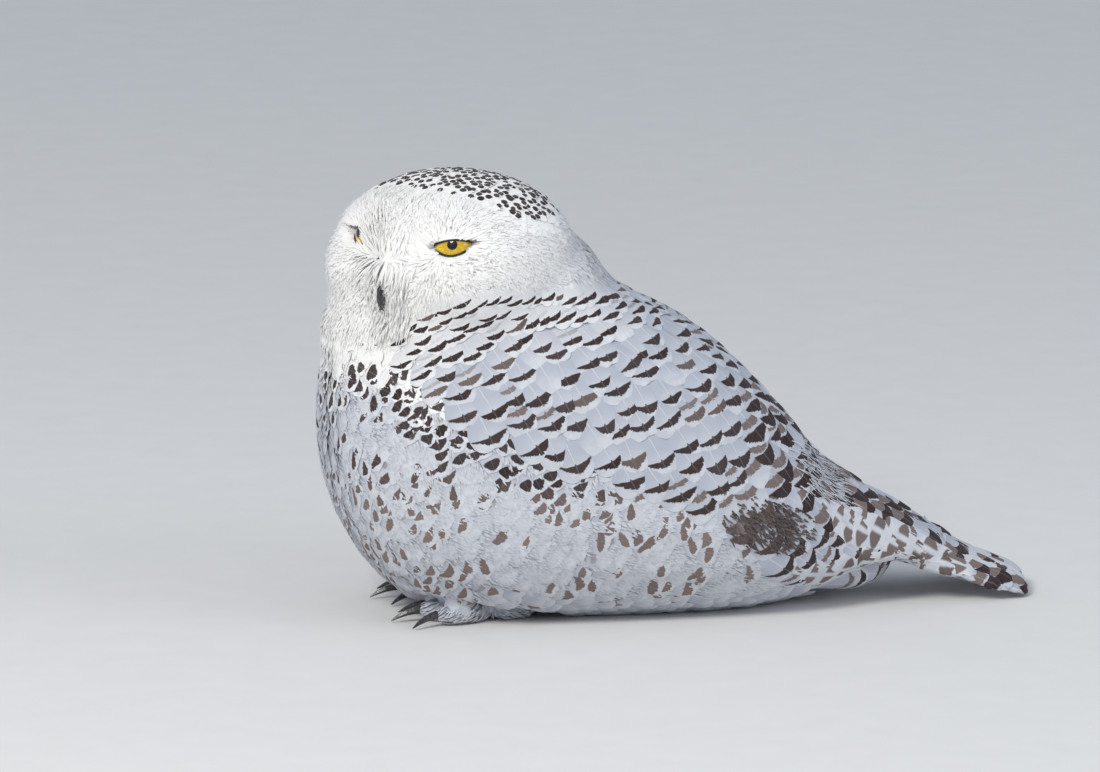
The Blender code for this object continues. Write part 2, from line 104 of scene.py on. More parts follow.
# Soft spots of the pattern: middle and reach in one direction, then in the other, then the lean.
BROW_TUFT = (-0.0190, 0.0075, 0.019, 0.016, 0.0)
CAPE_BLOTCH = (0.014, 0.018, 0.098, 0.013, 0.0)
CAPE_CLEAR = (0.043, 0.018, 0.094, 0.022, 0.0)
RUMP_PATCH = (0.043, 0.022, 0.073, 0.0125, 0.25)
RUMP_FRINGE = (0.080, 0.018, 0.104, 0.012, 0.6)

# What earlier pieces leave for later ones: the form, the skin, its bare parts and the marks laid so far.
MADE = {}


# Arithmetic


def unit(vectors):
    length = np.linalg.norm(vectors, axis=-1, keepdims=True)
    return vectors / np.maximum(length, 1e-9)


def ease(low, high, value):
    t = np.clip((value - low) / (high - low), 0.0, 1.0)
    return t * t * (3 - 2 * t)


def blend(a, b, share):
    return a + (b - a) * share


def dot(a, b):
    return (a * b).sum(-1)


def spot(a, b, place):
    """Soft spot in two directions: 1 at its middle, less with each reach away from it."""
    middle_a, reach_a, middle_b, reach_b, lean = place
    off = b - middle_b + lean * (a - middle_a)
    return np.exp(-(((a - middle_a) / reach_a) ** 2) - (off / reach_b) ** 2)


def even(gap):
    """The same gap between roots at all places."""
    return lambda places: np.full(len(places), gap)


def part_of(marks, part):
    """Markings of some of the vanes."""
    return {key: value[part] if isinstance(value, np.ndarray) else value for key, value in marks.items()}


def head_axes(points):
    """Forward, left and up of points, from the head's middle."""
    q = points - HEAD_MIDDLE
    return q @ FORWARD, q @ LEFT, q @ UP


def eye_axes(side):
    """Line of sight, outward and up directions of one eye. Side is 1 for the left eye."""
    level = FORWARD * math.cos(EYE_SPLAY) + LEFT * side * math.sin(EYE_SPLAY)
    sight = level * math.cos(EYE_LIFT) + UP * math.sin(EYE_LIFT)
    up = UP * math.cos(EYE_LIFT) - level * math.sin(EYE_LIFT)
    return sight, side * np.cross(UP, level), up


def lid_height(along, upper):
    """Height of the lid's edge at a place along the opening, from -1 to 1."""
    room = np.clip(1 - along * along, 0, 1)
    flat = LID_RISE * room ** 0.9
    full = LID_DROP * room ** 1.15
    return np.where(upper, flat, full)


def outside_lids(points):
    """How far points lie above or below the nearer eye's opening; under zero is inside it."""
    best = np.full(len(points), 1.0)
    for side in (1, -1):
        sight, out, up = eye_axes(side)
        q = points - EYE_MIDDLES[side]
        along = q @ out
        height = q @ up - LID_TILT * along
        within = np.clip(along / LID_HALF_LENGTH, -1, 1)
        over = np.abs(height) - lid_height(within, height > 0)
        past = np.maximum(np.abs(along) - LID_HALF_LENGTH, 0)
        over = np.where(past > 0, np.hypot(np.abs(height), past), over)
        corner = (np.abs(height) < CORNER_HEIGHT) & (past < CORNER_REACH)
        over = np.where(corner, np.minimum(over, 0.001), over)
        over = np.where(q @ sight > 0.2 * EYE_BALL, over, 1.0)
        best = np.minimum(best, over)
    return best


def cape_top(x):
    """Height of the line between hood and cape."""
    middle_x, height = HOOD_ARCH
    fall = np.where(x < middle_x, 4.0, 2.4) * (x - middle_x) ** 2
    return np.where(x > HOOD_BACK, 0.4, height - fall)


def cape_low(x):
    """Height of the line between cape and flank."""
    along = np.maximum(x - CAPE_START, 0)
    height = CAPE_FOOT - 0.20 * np.sqrt(along)
    return height - 0.20 * np.maximum(x + 0.113, 0) - 0.7 * np.maximum(x - 0.03, 0)


def ridge_height(x):
    """Height of the coverts' ridge over the tail."""
    return RIDGE_HEIGHT - RIDGE_FALL * (x - RIDGE_START)


def above_cap_edge(points):
    """Height of places over the lower edge of the spotted cap."""
    f, l, u = head_axes(points)
    return u - (CAP_EDGE - 6.8 * np.maximum(np.abs(l) - 0.02, 0) ** 2 - 0.10 * np.maximum(-f, 0))


def tract_of(points):
    """Masks of the white hood, the barred cape and the rest of the body."""
    x, y, z = points.T
    front = x < CAPE_START
    hood = np.where(front, z > HOOD_FRONT, z > cape_top(x))
    cape = ~hood & ~front & (z > cape_low(x))
    return hood, cape, ~hood & ~cape


def whiteness(points):
    """Warm white of the face, which falls off towards the nape and the breast; at the back of the head the
    fall is partly painted shade, for the side that turns from the light.
    """
    forward, _, _ = head_axes(points)
    return blend(0.3, 1.0, ease(-0.045, 0.02, forward)) * ease(0.155, 0.190, points[:, 2])


def corner_shade(points):
    """Painted shade: grey at the inner corner of each eye."""
    painted_shade = np.zeros(len(points))
    for side in (1, -1):
        sight, out, up = eye_axes(side)
        corner = EYE_MIDDLES[side] - out * 0.0165 + sight * 0.008
        gap = (points - corner) / (0.0075, 0.0075, 0.010)
        painted_shade += 0.15 * np.exp(-dot(gap, gap))
    return painted_shade


# The form under the feather tips


class Form:
    """Smooth surface that the feather tips reach, with the coat's depth at each point."""

    def __init__(self, voxel, smoothing):
        source = self.join(FLESH + EYES)
        modifier = source.modifiers.new("one_surface", "REMESH")
        modifier.mode = "VOXEL"
        modifier.voxel_size = voxel
        graph = bpy.context.evaluated_depsgraph_get()
        mesh = bpy.data.meshes.new_from_object(source.evaluated_get(graph))
        bpy.data.objects.remove(source)
        self.points = np.zeros(len(mesh.vertices) * 3)
        mesh.vertices.foreach_get("co", self.points)
        self.points = self.points.reshape(-1, 3)
        self.faces = np.array([tuple(p.vertices) for p in mesh.polygons])
        self.keep_largest_piece()
        for _ in range(smoothing):
            self.relax(0.55)
            self.relax(-0.57)
        self.fill_creases()
        self.node = self.nearest_nodes()
        self.depth = self.coat_depth()

    def join(self, nodes):
        vertices, faces, self.face_nodes = [], [], []
        for node in nodes:
            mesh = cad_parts[node].data
            start = len(vertices)
            vertices += [tuple(v.co) for v in mesh.vertices]
            faces += [tuple(start + i for i in p.vertices) for p in mesh.polygons]
            self.face_nodes += [nodes.index(node)] * len(mesh.polygons)
        self.cad_tree = BVHTree.FromPolygons(vertices, faces)
        mesh = bpy.data.meshes.new("form")
        mesh.from_pydata(vertices, [], faces)
        source = bpy.data.objects.new("form", mesh)
        bpy.context.scene.collection.objects.link(source)
        return source

    def sides(self):
        """The two ends of each side of each face."""
        return np.concatenate([self.faces[:, (i, (i + 1) % 4)] for i in range(4)])

    def keep_largest_piece(self):
        """Drops closed pockets, which hold fewer points than the outer surface."""
        label = np.arange(len(self.points))
        pairs = self.sides()
        while True:
            low = np.minimum(label[pairs[:, 0]], label[pairs[:, 1]])
            before = label.copy()
            np.minimum.at(label, pairs[:, 0], low)
            np.minimum.at(label, pairs[:, 1], low)
            label = label[label]
            if (label == before).all():
                break
        kept = label == np.bincount(label).argmax()
        number = np.cumsum(kept) - 1
        self.faces = number[self.faces[kept[self.faces[:, 0]]]]
        self.points = self.points[kept]

    def edges(self):
        """Each edge once, worked out when it is first asked for."""
        if not hasattr(self, "pairs"):
            self.pairs = np.unique(np.sort(self.sides(), axis=1), axis=0)
            self.links = np.bincount(self.pairs.ravel(), minlength=len(self.points))
        return self.pairs

    def neighbour_mean(self, values):
        a, b = self.edges().T
        size = len(self.points)
        if values.ndim == 1:
            total = np.bincount(a, values[b], size) + np.bincount(b, values[a], size)
            return total / self.links
        return np.stack([self.neighbour_mean(column) for column in values.T], axis=1)

    def relax(self, share):
        self.points = blend(self.points, self.neighbour_mean(self.points), share)

    def fill_creases(self, steps=160):
        """Rounds out the hollows between head, neck and folded wings, as the loose coat does."""
        self.measure()
        start = self.points.copy()
        loose = ease(0.008, 0.022, self.points[:, 2]) * (1 - ease(0.195, 0.225, self.points[:, 0]))
        loose = loose * (1 - ease(-0.03, -0.015, head_axes(self.points)[2]))
        self.bridge_tail()
        for _ in range(steps):
            rise = dot(self.neighbour_mean(self.points) - self.points, self.normals)
            self.points = self.points + self.normals * (np.maximum(rise, 0) * loose * 0.9)[:, None]
        self.measure()
        self.raised = np.maximum(dot(self.points - start, self.normals), 0)

    def bridge_tail(self):
        """Closes the gap between the wing tips over the tail, as the long coverts do."""
        x, y, z = self.points.T
        between = (np.abs(y) < 0.021) & (x > 0.085) & (x < 0.195)
        upper = (z > 0.034) & (self.normals[:, 2] > -0.3)
        self.points[:, 2] = np.where(between & upper, np.maximum(z, ridge_height(x)), z)
        self.measure()

    def measure(self):
        """Areas, centres, smooth normals and search tree of the present shape."""
        corners = self.points[self.faces]
        across = np.cross(corners[:, 2] - corners[:, 0], corners[:, 3] - corners[:, 1])
        self.areas = np.linalg.norm(across, axis=1) / 2
        self.normals = np.zeros_like(self.points)
        for i in range(4):
            for axis in range(3):
                total = np.bincount(self.faces[:, i], across[:, axis], len(self.points))
                self.normals[:, axis] += total
        self.normals = unit(self.normals)
        for _ in range(2):
            self.normals = unit(blend(self.normals, self.neighbour_mean(self.normals), 0.6))
        self.tree = BVHTree.FromPolygons(self.points.tolist(), self.faces.tolist())
        self.centres = corners.mean(1)
        self.face_normals = self.normals[self.faces].mean(1)

    def nearest_nodes(self):
        """The CAD node that each face belongs to."""
        found = [self.cad_tree.find_nearest(c)[2] for c in self.centres.tolist()]
        return np.array(self.face_nodes)[found]

    def coat_depth(self):
        """Depth of the coat at each point, less where the body is thin or bare."""
        sizes = bpy.context.scene.owl_sizes
        depths = {
            "head": sizes.face_depth,
            "eye": sizes.face_depth,
            "neck": sizes.body_depth,
            "trunk": sizes.body_depth,
            "tail": sizes.tail_depth,
            "wing": sizes.wing_depth,
            "leg": sizes.leg_depth,
        }
        by_face = np.array([depths[node.split("_")[0]] for node in FLESH + EYES])[self.node]
        depth = np.zeros(len(self.points))
        for i in range(4):
            np.maximum.at(depth, self.faces[:, i], by_face)
        starts = self.points - self.normals * 0.0004
        for i, (start, normal) in enumerate(zip(starts.tolist(), self.normals.tolist())):
            hit = self.tree.ray_cast(start, [-n for n in normal], 0.05)
            if hit[0] is not None:
                depth[i] = min(depth[i], THIN_SHARE * hit[3])
        depth = np.minimum(depth, 0.0015 + 0.6 * np.maximum(self.points[:, 2], 0))
        for _ in range(12):
            depth = np.minimum(depth, self.neighbour_mean(depth) * 1.02)
            depth = blend(depth, self.neighbour_mean(depth), 0.5)
        away = outside_lids(self.points)
        near_eye = ease(0.001, 0.012, away)
        depth = depth * near_eye + RIM_DEPTH * (1 - near_eye) + self.raised
        return np.where(away < -RIM_DEPTH, OPENING_DEPTH, depth)

    def snap(self, points):
        """Nearest surface places, their smooth normals and coat depths."""
        found = [self.tree.find_nearest(p) for p in points.tolist()]
        places = np.array([f[0] for f in found])
        rows = self.faces[[f[2] for f in found]]
        gaps = np.linalg.norm(self.points[rows] - places[:, None], axis=2)
        weights = 1 / (gaps + 1e-5)
        weights /= weights.sum(1, keepdims=True)
        normals = unit((self.normals[rows] * weights[..., None]).sum(1))
        return places, normals, (self.depth[rows] * weights).sum(1)

    def scatter(self, wanted, random, gap):
        """Even scatter over the faces, one root for each square of the wanted gap."""
        share = wanted * self.areas / (gap * gap)
        counts = np.floor(share + random.random(len(share))).astype(int)
        chosen = np.repeat(np.arange(len(self.faces)), counts)
        a, b = random.random((2, len(chosen), 1))
        corners = self.points[self.faces[chosen]]
        top = blend(corners[:, 0], corners[:, 1], a)
        foot = blend(corners[:, 3], corners[:, 2], a)
        return blend(top, foot, b)

    def rows(self, wanted, random, gap, steps, reach=1.25):
        """Roots spaced as evenly as fish scales, pushed apart step by step. Gap is a function of places."""
        finest = 0.35 * gap(self.centres[wanted]).min()
        places = self.scatter(wanted, random, finest)
        places = places[random.permutation(len(places))]
        gaps = gap(places)
        kept = thin_out(places, gaps * 0.82)
        places, gaps = places[kept], gaps[kept]
        for _ in range(steps):
            tree = KDTree(len(places))
            for j, p in enumerate(places.tolist()):
                tree.insert(p, j)
            tree.balance()
            push = np.zeros_like(places)
            for j, p in enumerate(places.tolist()):
                for _, k, off in tree.find_n(p, 7):
                    if k != j and off < gaps[j] * reach:
                        away = (places[j] - places[k]) / max(off, 1e-6)
                        push[j] += away * (gaps[j] * reach - off) * 0.22
            places = self.snap(places + push)[0]
            gaps = gap(places)
        return places


def thin_out(places, gaps):
    """Keeps places that are at least a gap apart, in their given order."""
    cell = gaps.max()
    grid, kept = {}, []
    keys = np.floor(places / cell).astype(int)
    around = [(a, b, c) for a in (-1, 0, 1) for b in (-1, 0, 1) for c in (-1, 0, 1)]
    for i, (x, y, z) in enumerate(keys.tolist()):
        free = True
        for a, b, c in around:
            for j in grid.get((x + a, y + b, z + c), ()):
                if np.abs(places[i] - places[j]).max() < gaps[i]:
                    if np.linalg.norm(places[i] - places[j]) < gaps[i]:
                        free = False
                        break
            if not free:
                break
        if free:
            grid.setdefault((x, y, z), []).append(i)
            kept.append(i)
    return np.array(kept)


# The lie of the coat


def steered(angle, sideways=0.0):
    """Directions back along the body, turned down by an angle in degrees."""
    angle = np.radians(angle)
    sideways = np.broadcast_to(sideways, angle.shape)
    return np.stack([np.cos(angle), sideways, -np.sin(angle)], axis=-1)


def trunk_lie(p):
    """Back along the body, and down and outwards over the breast."""
    x, y, z = p.T
    high = ease(0.080, 0.120, z) * ease(-0.228, -0.185, x) * (1 - ease(-0.02, 0.06, x))
    angle = blend(24.0, 68.0, high) * ease(0.0, 0.02, z)
    front = 1 - ease(-0.235, -0.19, x)
    return steered(angle, np.clip(y / 0.04, -1, 1) * 0.75 * front)


def cape_lie(p):
    """Down over the shoulders, and ever more back towards the tail."""
    x, y, z = p.T
    angle = blend(60.0, 22.0, ease(-0.04, 0.13, x))
    return steered(angle, np.sign(y) * 0.18 * ease(0.0, 0.02, np.abs(y)))


def tail_lie(p):
    """Back, and fanned out to both sides."""
    return steered(np.full(len(p), 12.0), p[:, 1] * 2.2)


def neck_lie(p):
    """Down in front, and slanting back behind."""
    back = ease(-0.02, 0.03, -head_axes(p)[0])
    down = np.broadcast_to(-UP, p.shape)
    return blend(down, steered(np.full(len(p), 50.0)), back[:, None])


def down_lie(p):
    """As the neck's feathers above, and as the breast's below."""
    neck = ease(0.165, 0.185, p[:, 2])[:, None]
    return blend(trunk_lie(p), neck_lie(p), neck)


def crown_lie(p):
    """Back over the head, and down at both sides."""
    _, l, _ = head_axes(p)
    return -FORWARD * 0.9 - UP * 0.55 + (l[:, None] * LEFT) * 3.0


def face_lie(p):
    """Out from each eye, up between them and down over the bill."""
    f, l, u = head_axes(p)
    side = np.where(l > 0, 1.0, -1.0)[:, None]
    q = p - np.where(side > 0, EYE_MIDDLES[1], EYE_MIDDLES[-1])
    ray = unit(np.stack([q @ LEFT, q @ UP], axis=1))
    flow = ray[:, :1] * LEFT + ray[:, 1:] * UP
    ridge = np.exp(-((l / 0.016) ** 2))[:, None]
    above = ease(0.000, 0.020, u)[:, None]
    middle_flow = blend(-UP + side * LEFT * 0.35, UP * 0.9 + side * LEFT * 0.25, above)
    flow = blend(flow, middle_flow, ridge)
    low = (1 - ease(-0.050, -0.015, u))[:, None]
    flow = blend(flow, -UP + side * LEFT * 0.3, low)
    back = (1 - ease(-0.005, 0.035, f))[:, None]
    return blend(flow, crown_lie(p), back)


def lore_lie(p):
    """Up above and down below, parted between the eyes."""
    _, l, u = head_axes(p)
    rise = blend(-0.7, 0.8, ease(0.006, 0.018, u))[:, None]
    away = np.where(l > 0, 1.4 * ease(0.008, 0.018, l), 0.0)[:, None]
    return np.sign(l)[:, None] * LEFT * (0.35 - away) + UP * rise


def bristle_lie(p):
    """Down over the bill, and in towards it from both sides."""
    _, l, _ = head_axes(p)
    inwards = 0.04 - 40.0 * np.clip(np.abs(l) - 0.006, 0, 0.02)
    return -UP + np.sign(l)[:, None] * LEFT * inwards[:, None]


def leg_lie(p):
    """Out from the middle of the leg, and down."""
    foot = np.where(p[:, 1:2] < 0, middle("leg_left"), middle("leg_right"))
    out = (p - foot) * (1, 1, 0)
    return unit(out) * ease(0.006, 0.02, np.linalg.norm(out, axis=1))[:, None] + (-0.35, 0, -0.5)


# Vanes: thin closed feathers


PLUME_STATIONS = (0, 0.14, 0.3, 0.46, 0.6, 0.72, 0.81, 0.885, 0.94, 0.975, 0.993, 1)
KINDS = {
    "plume": dict(top=9, bottom=3, stations=PLUME_STATIONS),
    "feather": dict(top=5, bottom=1, stations=(0, 0.28, 0.55, 0.78, 0.93, 1)),
    "scale": dict(top=5, bottom=1, stations=(0, 0.45, 0.85, 1)),
    "wisp": dict(top=3, bottom=0, stations=(0, 0.4, 0.75, 1)),
}

# How vanes are made and lie, unless a piece of the coat says otherwise.
LAY = dict(
    spread=0.12, lift=0.0, fluff=0.0, turn=0.08, thick=0.0004, camber=0.22, outline=(0.35, 0.62),
    ragged=0.05, soft=0.3, slot="white_plumage", on_head=False, clear_marks=False,
)
WISP = dict(LAY, kind="wisp", camber=0.08, soft=0.9, thick=0.0002, outline=(0.7, 0.2))
FACE_WISP = dict(WISP, slot="face_plumage", on_head=True)
LAYS = {
    "face_base": dict(
        LAY, kind="scale", length=0.0135, width=0.0076, lie=face_lie, slot="face_plumage", seed=17,
        lift=-0.0002, turn=0.12, camber=0.05, soft=0.92, thick=0.0002, outline=(0.6, 0.3), on_head=True,
    ),
    "face": dict(
        FACE_WISP, length=0.0105, width=0.0019, lie=face_lie, seed=12, fluff=0.0006, turn=0.12,
        camber=0.06, soft=0.92, outline=(0.6, 0.25),
    ),
    "face_fuzz": dict(
        FACE_WISP, length=0.0100, width=0.0007, lie=face_lie, seed=18, lift=0.0010, fluff=0.0018,
        turn=0.3, camber=0.06, thick=0.0001,
    ),
    "lores": dict(FACE_WISP, width=0.0022, lie=lore_lie, seed=15, fluff=0.0006, turn=0.14),
    "bill_bristles": dict(
        FACE_WISP, length=0.0185, width=0.0018, lie=bristle_lie, seed=16, fluff=0.0022, turn=0.12, soft=0.88,
    ),
    "crown": dict(
        LAY, kind="scale", length=0.0150, width=0.0068, lie=crown_lie, seed=13, fluff=0.0006, turn=0.10,
        camber=0.12, soft=0.6, thick=0.0003, outline=(0.5, 0.55), on_head=True,
    ),
    "crown_down": dict(
        WISP, length=0.0085, width=0.0012, lie=crown_lie, seed=14, lift=-0.0002, fluff=0.0008, turn=0.2,
        camber=0.1, soft=0.8, outline=(0.6, 0.3), on_head=True, clear_marks=True,
    ),
    "hood": dict(
        LAY, kind="feather", length=0.021, width=0.0098, lie=neck_lie, seed=22, lift=-0.0003, turn=0.12,
        camber=0.05, soft=0.92, thick=0.0003, outline=(0.5, 0.35), ragged=0.10,
    ),
    "flank": dict(
        LAY, kind="feather", lie=trunk_lie, slot="barred_plumage", seed=23, fluff=0.0002, turn=0.10,
        camber=0.03, soft=0.9, thick=0.0002, ragged=0.08,
    ),
    "belly": dict(LAY, kind="feather", length=0.026, width=0.017, lie=trunk_lie, seed=24, lift=-0.0006),
    "down": dict(
        WISP, width=0.0018, lie=down_lie, seed=25, lift=0.0001, fluff=0.0007, turn=0.16, clear_marks=True,
    ),
    "cape": dict(
        LAY, kind="plume", lie=cape_lie, slot="barred_plumage", seed=32, spread=0.06, lift=0.0004,
        fluff=0.0006, turn=0.07, camber=0.12, soft=0.35, outline=(0.45, 0.66), ragged=0.02,
    ),
    "flights": dict(
        LAY, kind="plume", lie=cape_lie, slot="barred_plumage", seed=33, spread=0.03, lift=0.0012,
        turn=0.03, camber=0.12, thick=0.0006, outline=(0.4, 0.78), ragged=0.015,
    ),
    "tail_feathers": dict(
        LAY, kind="plume", width=0.026, lie=tail_lie, slot="barred_plumage", seed=42, spread=0.02,
        lift=0.0008, turn=0.01, camber=0.10, thick=0.0006, outline=(0.45, 0.80), ragged=0.012,
    ),
    "tail_coverts": dict(
        LAY, kind="feather", length=0.036, width=0.018, lie=tail_lie, slot="barred_plumage", seed=43,
        fluff=0.0006, camber=0.08, soft=0.7,
    ),
    "undertail": dict(
        LAY, kind="feather", length=0.030, width=0.015, lie=tail_lie, seed=44, fluff=0.0006,
        camber=0.05, soft=0.8,
    ),
    "rump_patch": dict(
        WISP, length=0.011, width=0.0018, lie=cape_lie, slot="barred_plumage", seed=45, lift=0.0030,
        fluff=0.0010, turn=0.25, soft=0.8, outline=(0.7, 0.3),
    ),
    "rump_fringe": dict(
        WISP, length=0.024, width=0.0012, lie=tail_lie, seed=46, lift=0.0014, fluff=0.0030, turn=0.25,
        soft=0.8,
    ),
    "leg_feathers": dict(
        LAY, kind="wisp", length=0.009, width=0.0016, lie=leg_lie, seed=52, fluff=0.001, turn=0.15,
        camber=0.5, outline=(0.6, 0.3),
    ),
}


def vane_outline(t, root, tip):
    """Share of the full width along a vane: narrow at the root and round at the tip."""
    grown = root + (1 - root) * ease(0.0, 0.55, t)
    past = np.clip((t - tip) / (1 - tip), 0, 1)
    return grown * np.sqrt(np.clip(1 - past ** 2.2, 0, 1))


def lay_paths(form, roots, lengths, lift, lay, random):
    """Walks each vane over the form, from the skin at its root out to the form at its tip."""
    t = KINDS[lay["kind"]]["stations"]
    place, normal, depth = form.snap(roots)
    turns = random.normal(0, 1, len(roots)) * lay["turn"]
    places, normals, heights = [], [], []
    for k, share in enumerate(t):
        way = unit(lay["lie"](place))
        way = unit(way - normal * dot(way, normal)[:, None])
        way = unit(way + np.cross(normal, way) * turns[:, None])
        heights.append(-(np.minimum(depth, 0.008) + 0.0006) * (1 - share) ** 2.2 + lift * share)
        places.append(place)
        normals.append(normal)
        if k + 1 < len(t):
            step = (t[k + 1] - share) * lengths
            place, normal, depth = form.snap(place + way * step[:, None])
    places, normals, heights = np.stack(places, 1), np.stack(normals, 1), np.stack(heights, 1)
    raised = places + normals * heights[..., None]
    return places, normals, unit(np.gradient(raised, axis=1)), heights


def vane_rings(form, path, widths, lay, random):
    """Points of all the vanes: a ring for each station and the tip. Broad vanes drape over the form."""
    places, normals, ways, heights = path
    kind = KINDS[lay["kind"]]
    t = np.array(kind["stations"])
    count, rings = len(places), len(t) - 1
    top, bottom = kind["top"], kind["bottom"]
    share = np.broadcast_to(vane_outline(t, *lay["outline"])[None, :rings], (count, rings))
    half = widths[:, None] / 2 * share
    across = np.cross(normals, ways)[:, :rings, None]
    s = np.concatenate([np.linspace(-1, 1, top), np.linspace(1, -1, bottom + 2)[1:-1]])
    under = np.concatenate([np.zeros(top), np.ones(bottom)])
    edges = 1 + random.normal(0, lay["ragged"], (count, rings, 1)) * (np.abs(s) > 0.9)
    spread = half[..., None] * s * edges
    sweep = half[..., None] * s * s * 0.35 * t[None, :rings, None]
    flat = places[:, :rings, None] + across * spread[..., None] + ways[:, :rings, None] * sweep[..., None]
    shape = flat.shape
    facing = np.broadcast_to(normals[:, :rings, None], shape)
    if bottom:
        found, facing, _ = form.snap(flat.reshape(-1, 3))
        flat, facing = found.reshape(shape), facing.reshape(shape)
    height = lay["camber"] * half[..., None] * (1 - s * s) - under * lay["thick"] * share[..., None]
    rings_points = flat + facing * (height + heights[:, :rings, None])[..., None]
    tips = places[:, -1:] + normals[:, -1:] * heights[:, -1:, None]
    points = np.concatenate([rings_points.reshape(count, -1, 3), tips], 1)
    points[..., 2] = np.maximum(points[..., 2], 0.0003)
    vane_u = np.concatenate([np.tile((s + 1) / 2, rings), [0.5]])
    vane_v = np.concatenate([np.repeat(t[:rings], len(s)), [1.0]])
    goals = np.concatenate([facing.reshape(count, -1, 3), normals[:, -1:]], 1)
    return points, goals, vane_u, vane_v


def vane_faces(kind):
    """Quads between rings, the tip's triangles and the root's cap, for one vane."""
    around = kind["top"] + kind["bottom"]
    rings = len(kind["stations"]) - 1
    faces = [list(range(around))]
    for k in range(rings - 1):
        for j in range(around):
            a, b = k * around + j, k * around + (j + 1) % around
            faces.append([b, a, a + around, b + around])
    for j in range(around):
        a, b = (rings - 1) * around + j, (rings - 1) * around + (j + 1) % around
        faces.append([b, a, rings * around])
    return faces


def chart_places(roots, on_head):
    """Places on a flat chart of the skin: round the head's middle, or round and along the body."""
    if on_head:
        f, l, u = head_axes(roots)
        reach = np.sqrt(f * f + l * l + u * u) + 1e-9
        chart = np.stack([np.arctan2(l, f) / math.pi, u / reach], 1)
    else:
        x, y, z = roots.T
        chart = np.stack([np.arctan2(y, z - 0.09) / math.pi, x / 0.25], 1)
    low, high = chart.min(0), chart.max(0)
    return 0.01 + 0.98 * (chart - low) / np.maximum(high - low, 1e-6)


def bake_patches(roots, on_head, large):
    """Middle and size of each vane's patch on the chart. Large patches never overlap."""
    chart = chart_places(roots, on_head)
    if not large:
        return chart, np.full(len(roots), 0.003)
    columns = max(int(math.ceil(math.sqrt(len(roots)))), 1)
    order = np.argsort(chart[:, 1], kind="stable")
    for row in range(columns):
        part = order[row * columns : (row + 1) * columns]
        part = part[np.argsort(chart[part, 0], kind="stable")]
        chart[part, 0] = (np.arange(len(part)) + 0.5) / columns
        chart[part, 1] = (row + 0.5) / columns
    return chart, np.full(len(roots), 0.8 / columns)


def new_piece(name, points, faces, material):
    """Mesh object on the root body, with one material."""
    mesh = bpy.data.meshes.new(name)
    loops = np.concatenate([np.asarray(f).ravel() for f in faces])
    sizes = np.concatenate([np.full(len(f), np.asarray(f).shape[1]) for f in faces])
    starts = np.concatenate([[0], np.cumsum(sizes)[:-1]])
    mesh.vertices.add(len(points))
    mesh.vertices.foreach_set("co", np.asarray(points, np.float32).ravel())
    mesh.loops.add(len(loops))
    mesh.loops.foreach_set("vertex_index", loops.astype(np.int32))
    mesh.polygons.add(len(sizes))
    mesh.polygons.foreach_set("loop_start", starts.astype(np.int32))
    mesh.polygons.foreach_set("use_smooth", np.full(len(sizes), True))
    mesh.update(calc_edges=True)
    mesh.validate()
    mesh.materials.append(material)
    piece = bpy.data.objects.new(name, mesh)
    bpy.context.scene.collection.objects.link(piece)
    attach(piece, "root")
    return piece


def add_vector(mesh, name, values):
    layer = mesh.attributes.new(name, "FLOAT_VECTOR", "POINT")
    layer.data.foreach_set("vector", np.asarray(values, np.float32).ravel())


def add_uv(mesh, name, values):
    corners = np.zeros(len(mesh.loops), np.int32)
    mesh.loops.foreach_get("vertex_index", corners)
    layer = mesh.uv_layers.new(name=name)
    layer.data.foreach_set("uv", np.asarray(values, np.float32)[corners].ravel())


# Markings of a plain vane, a wash over a whole vane, which on the face carries the painted shade at the eyes'
# inner corners, and the layers that carry them to the finish.
PLAIN = dict(
    strength=0.0, place=0.86, thick=0.06, second=0.0, curve=0.10, span=0.95,
    tint=0.0, gap=0.35, count=1.0, split=0.0, warm=0.0, skew=0.0, swell=0.0,
)
WASH = dict(tint=1.0, place=0.8, thick=0.6, span=1.5)
LAYERS = (
    ("mark", ("strength", "place", "thick")),
    ("form", ("second", "curve", "span")),
    ("more", ("count", "split", "gap")),
    ("lean", ("skew", "swell", "swell")),
    ("self", ("seed", "tint", "warm")),
)


def mark_rows(marks, count):
    """Fills in a coat's markings, one row for each vane."""
    return {k: np.broadcast_to(np.asarray(marks.get(k, v), float), (count,)) for k, v in PLAIN.items()}


def darkness(marks, u, v):
    """How dark the markings are at places on the vanes, as the coat's finish draws them."""
    m = {key: value[:, None] for key, value in marks.items()}
    s = 2 * u - 1
    bent = m["place"] - m["curve"] * s * s - m["skew"] * s
    steps = (bent - v) / m["gap"]
    number = np.clip(np.round(steps), 0, m["count"])
    off = np.abs(steps - number) * m["gap"]
    thick = m["thick"] * (1 - 0.5 * s * s)
    reach = (np.abs(s) / np.maximum(m["span"], 1e-3)) ** 3
    mask = 1 - ease(0.7, 1.2, (off / np.maximum(thick, 1e-4)) ** 2 + reach)
    return mask * np.where(number < 0.5, m["strength"], m["second"])


def record_marks(kind, marks, points, u, v):
    """Keeps how dark the outer half of each vane is, at its points and halfway between them."""
    count, each = points.shape[:2]
    around = kind["top"] + kind["bottom"]
    at = np.stack([u, v], 1)
    outer = np.flatnonzero((v > 0.5) & (v < 0.99) & (np.arange(each) % around < kind["top"]))
    for ahead in (0, 1, around, around + 1):
        first = outer[outer + ahead < each - 1]
        halfway = at[first] / 2 + at[first + ahead] / 2
        halfway = np.broadcast_to(halfway, (count, len(first), 2))
        dark = darkness(marks, halfway[..., 0], halfway[..., 1])
        spots = (points[:, first] + points[:, first + ahead]) / 2
        rows = np.concatenate([spots, dark[..., None], halfway[..., 1:]], 2)
        MADE.setdefault("marks", []).append(rows.reshape(-1, 5))


def clear_of_marks(places):
    """Vanes that lie over no dark mark, tested from the root to the tip."""
    middles = (places[:, :-1] + places[:, 1:]) / 2
    tested = (middles[:, 0], places[:, 1], middles[:, 1], places[:, 2], middles[:, 2], places[:, 3])
    return np.max([nearby_marks(spots) for spots in tested], axis=0) < 0.08


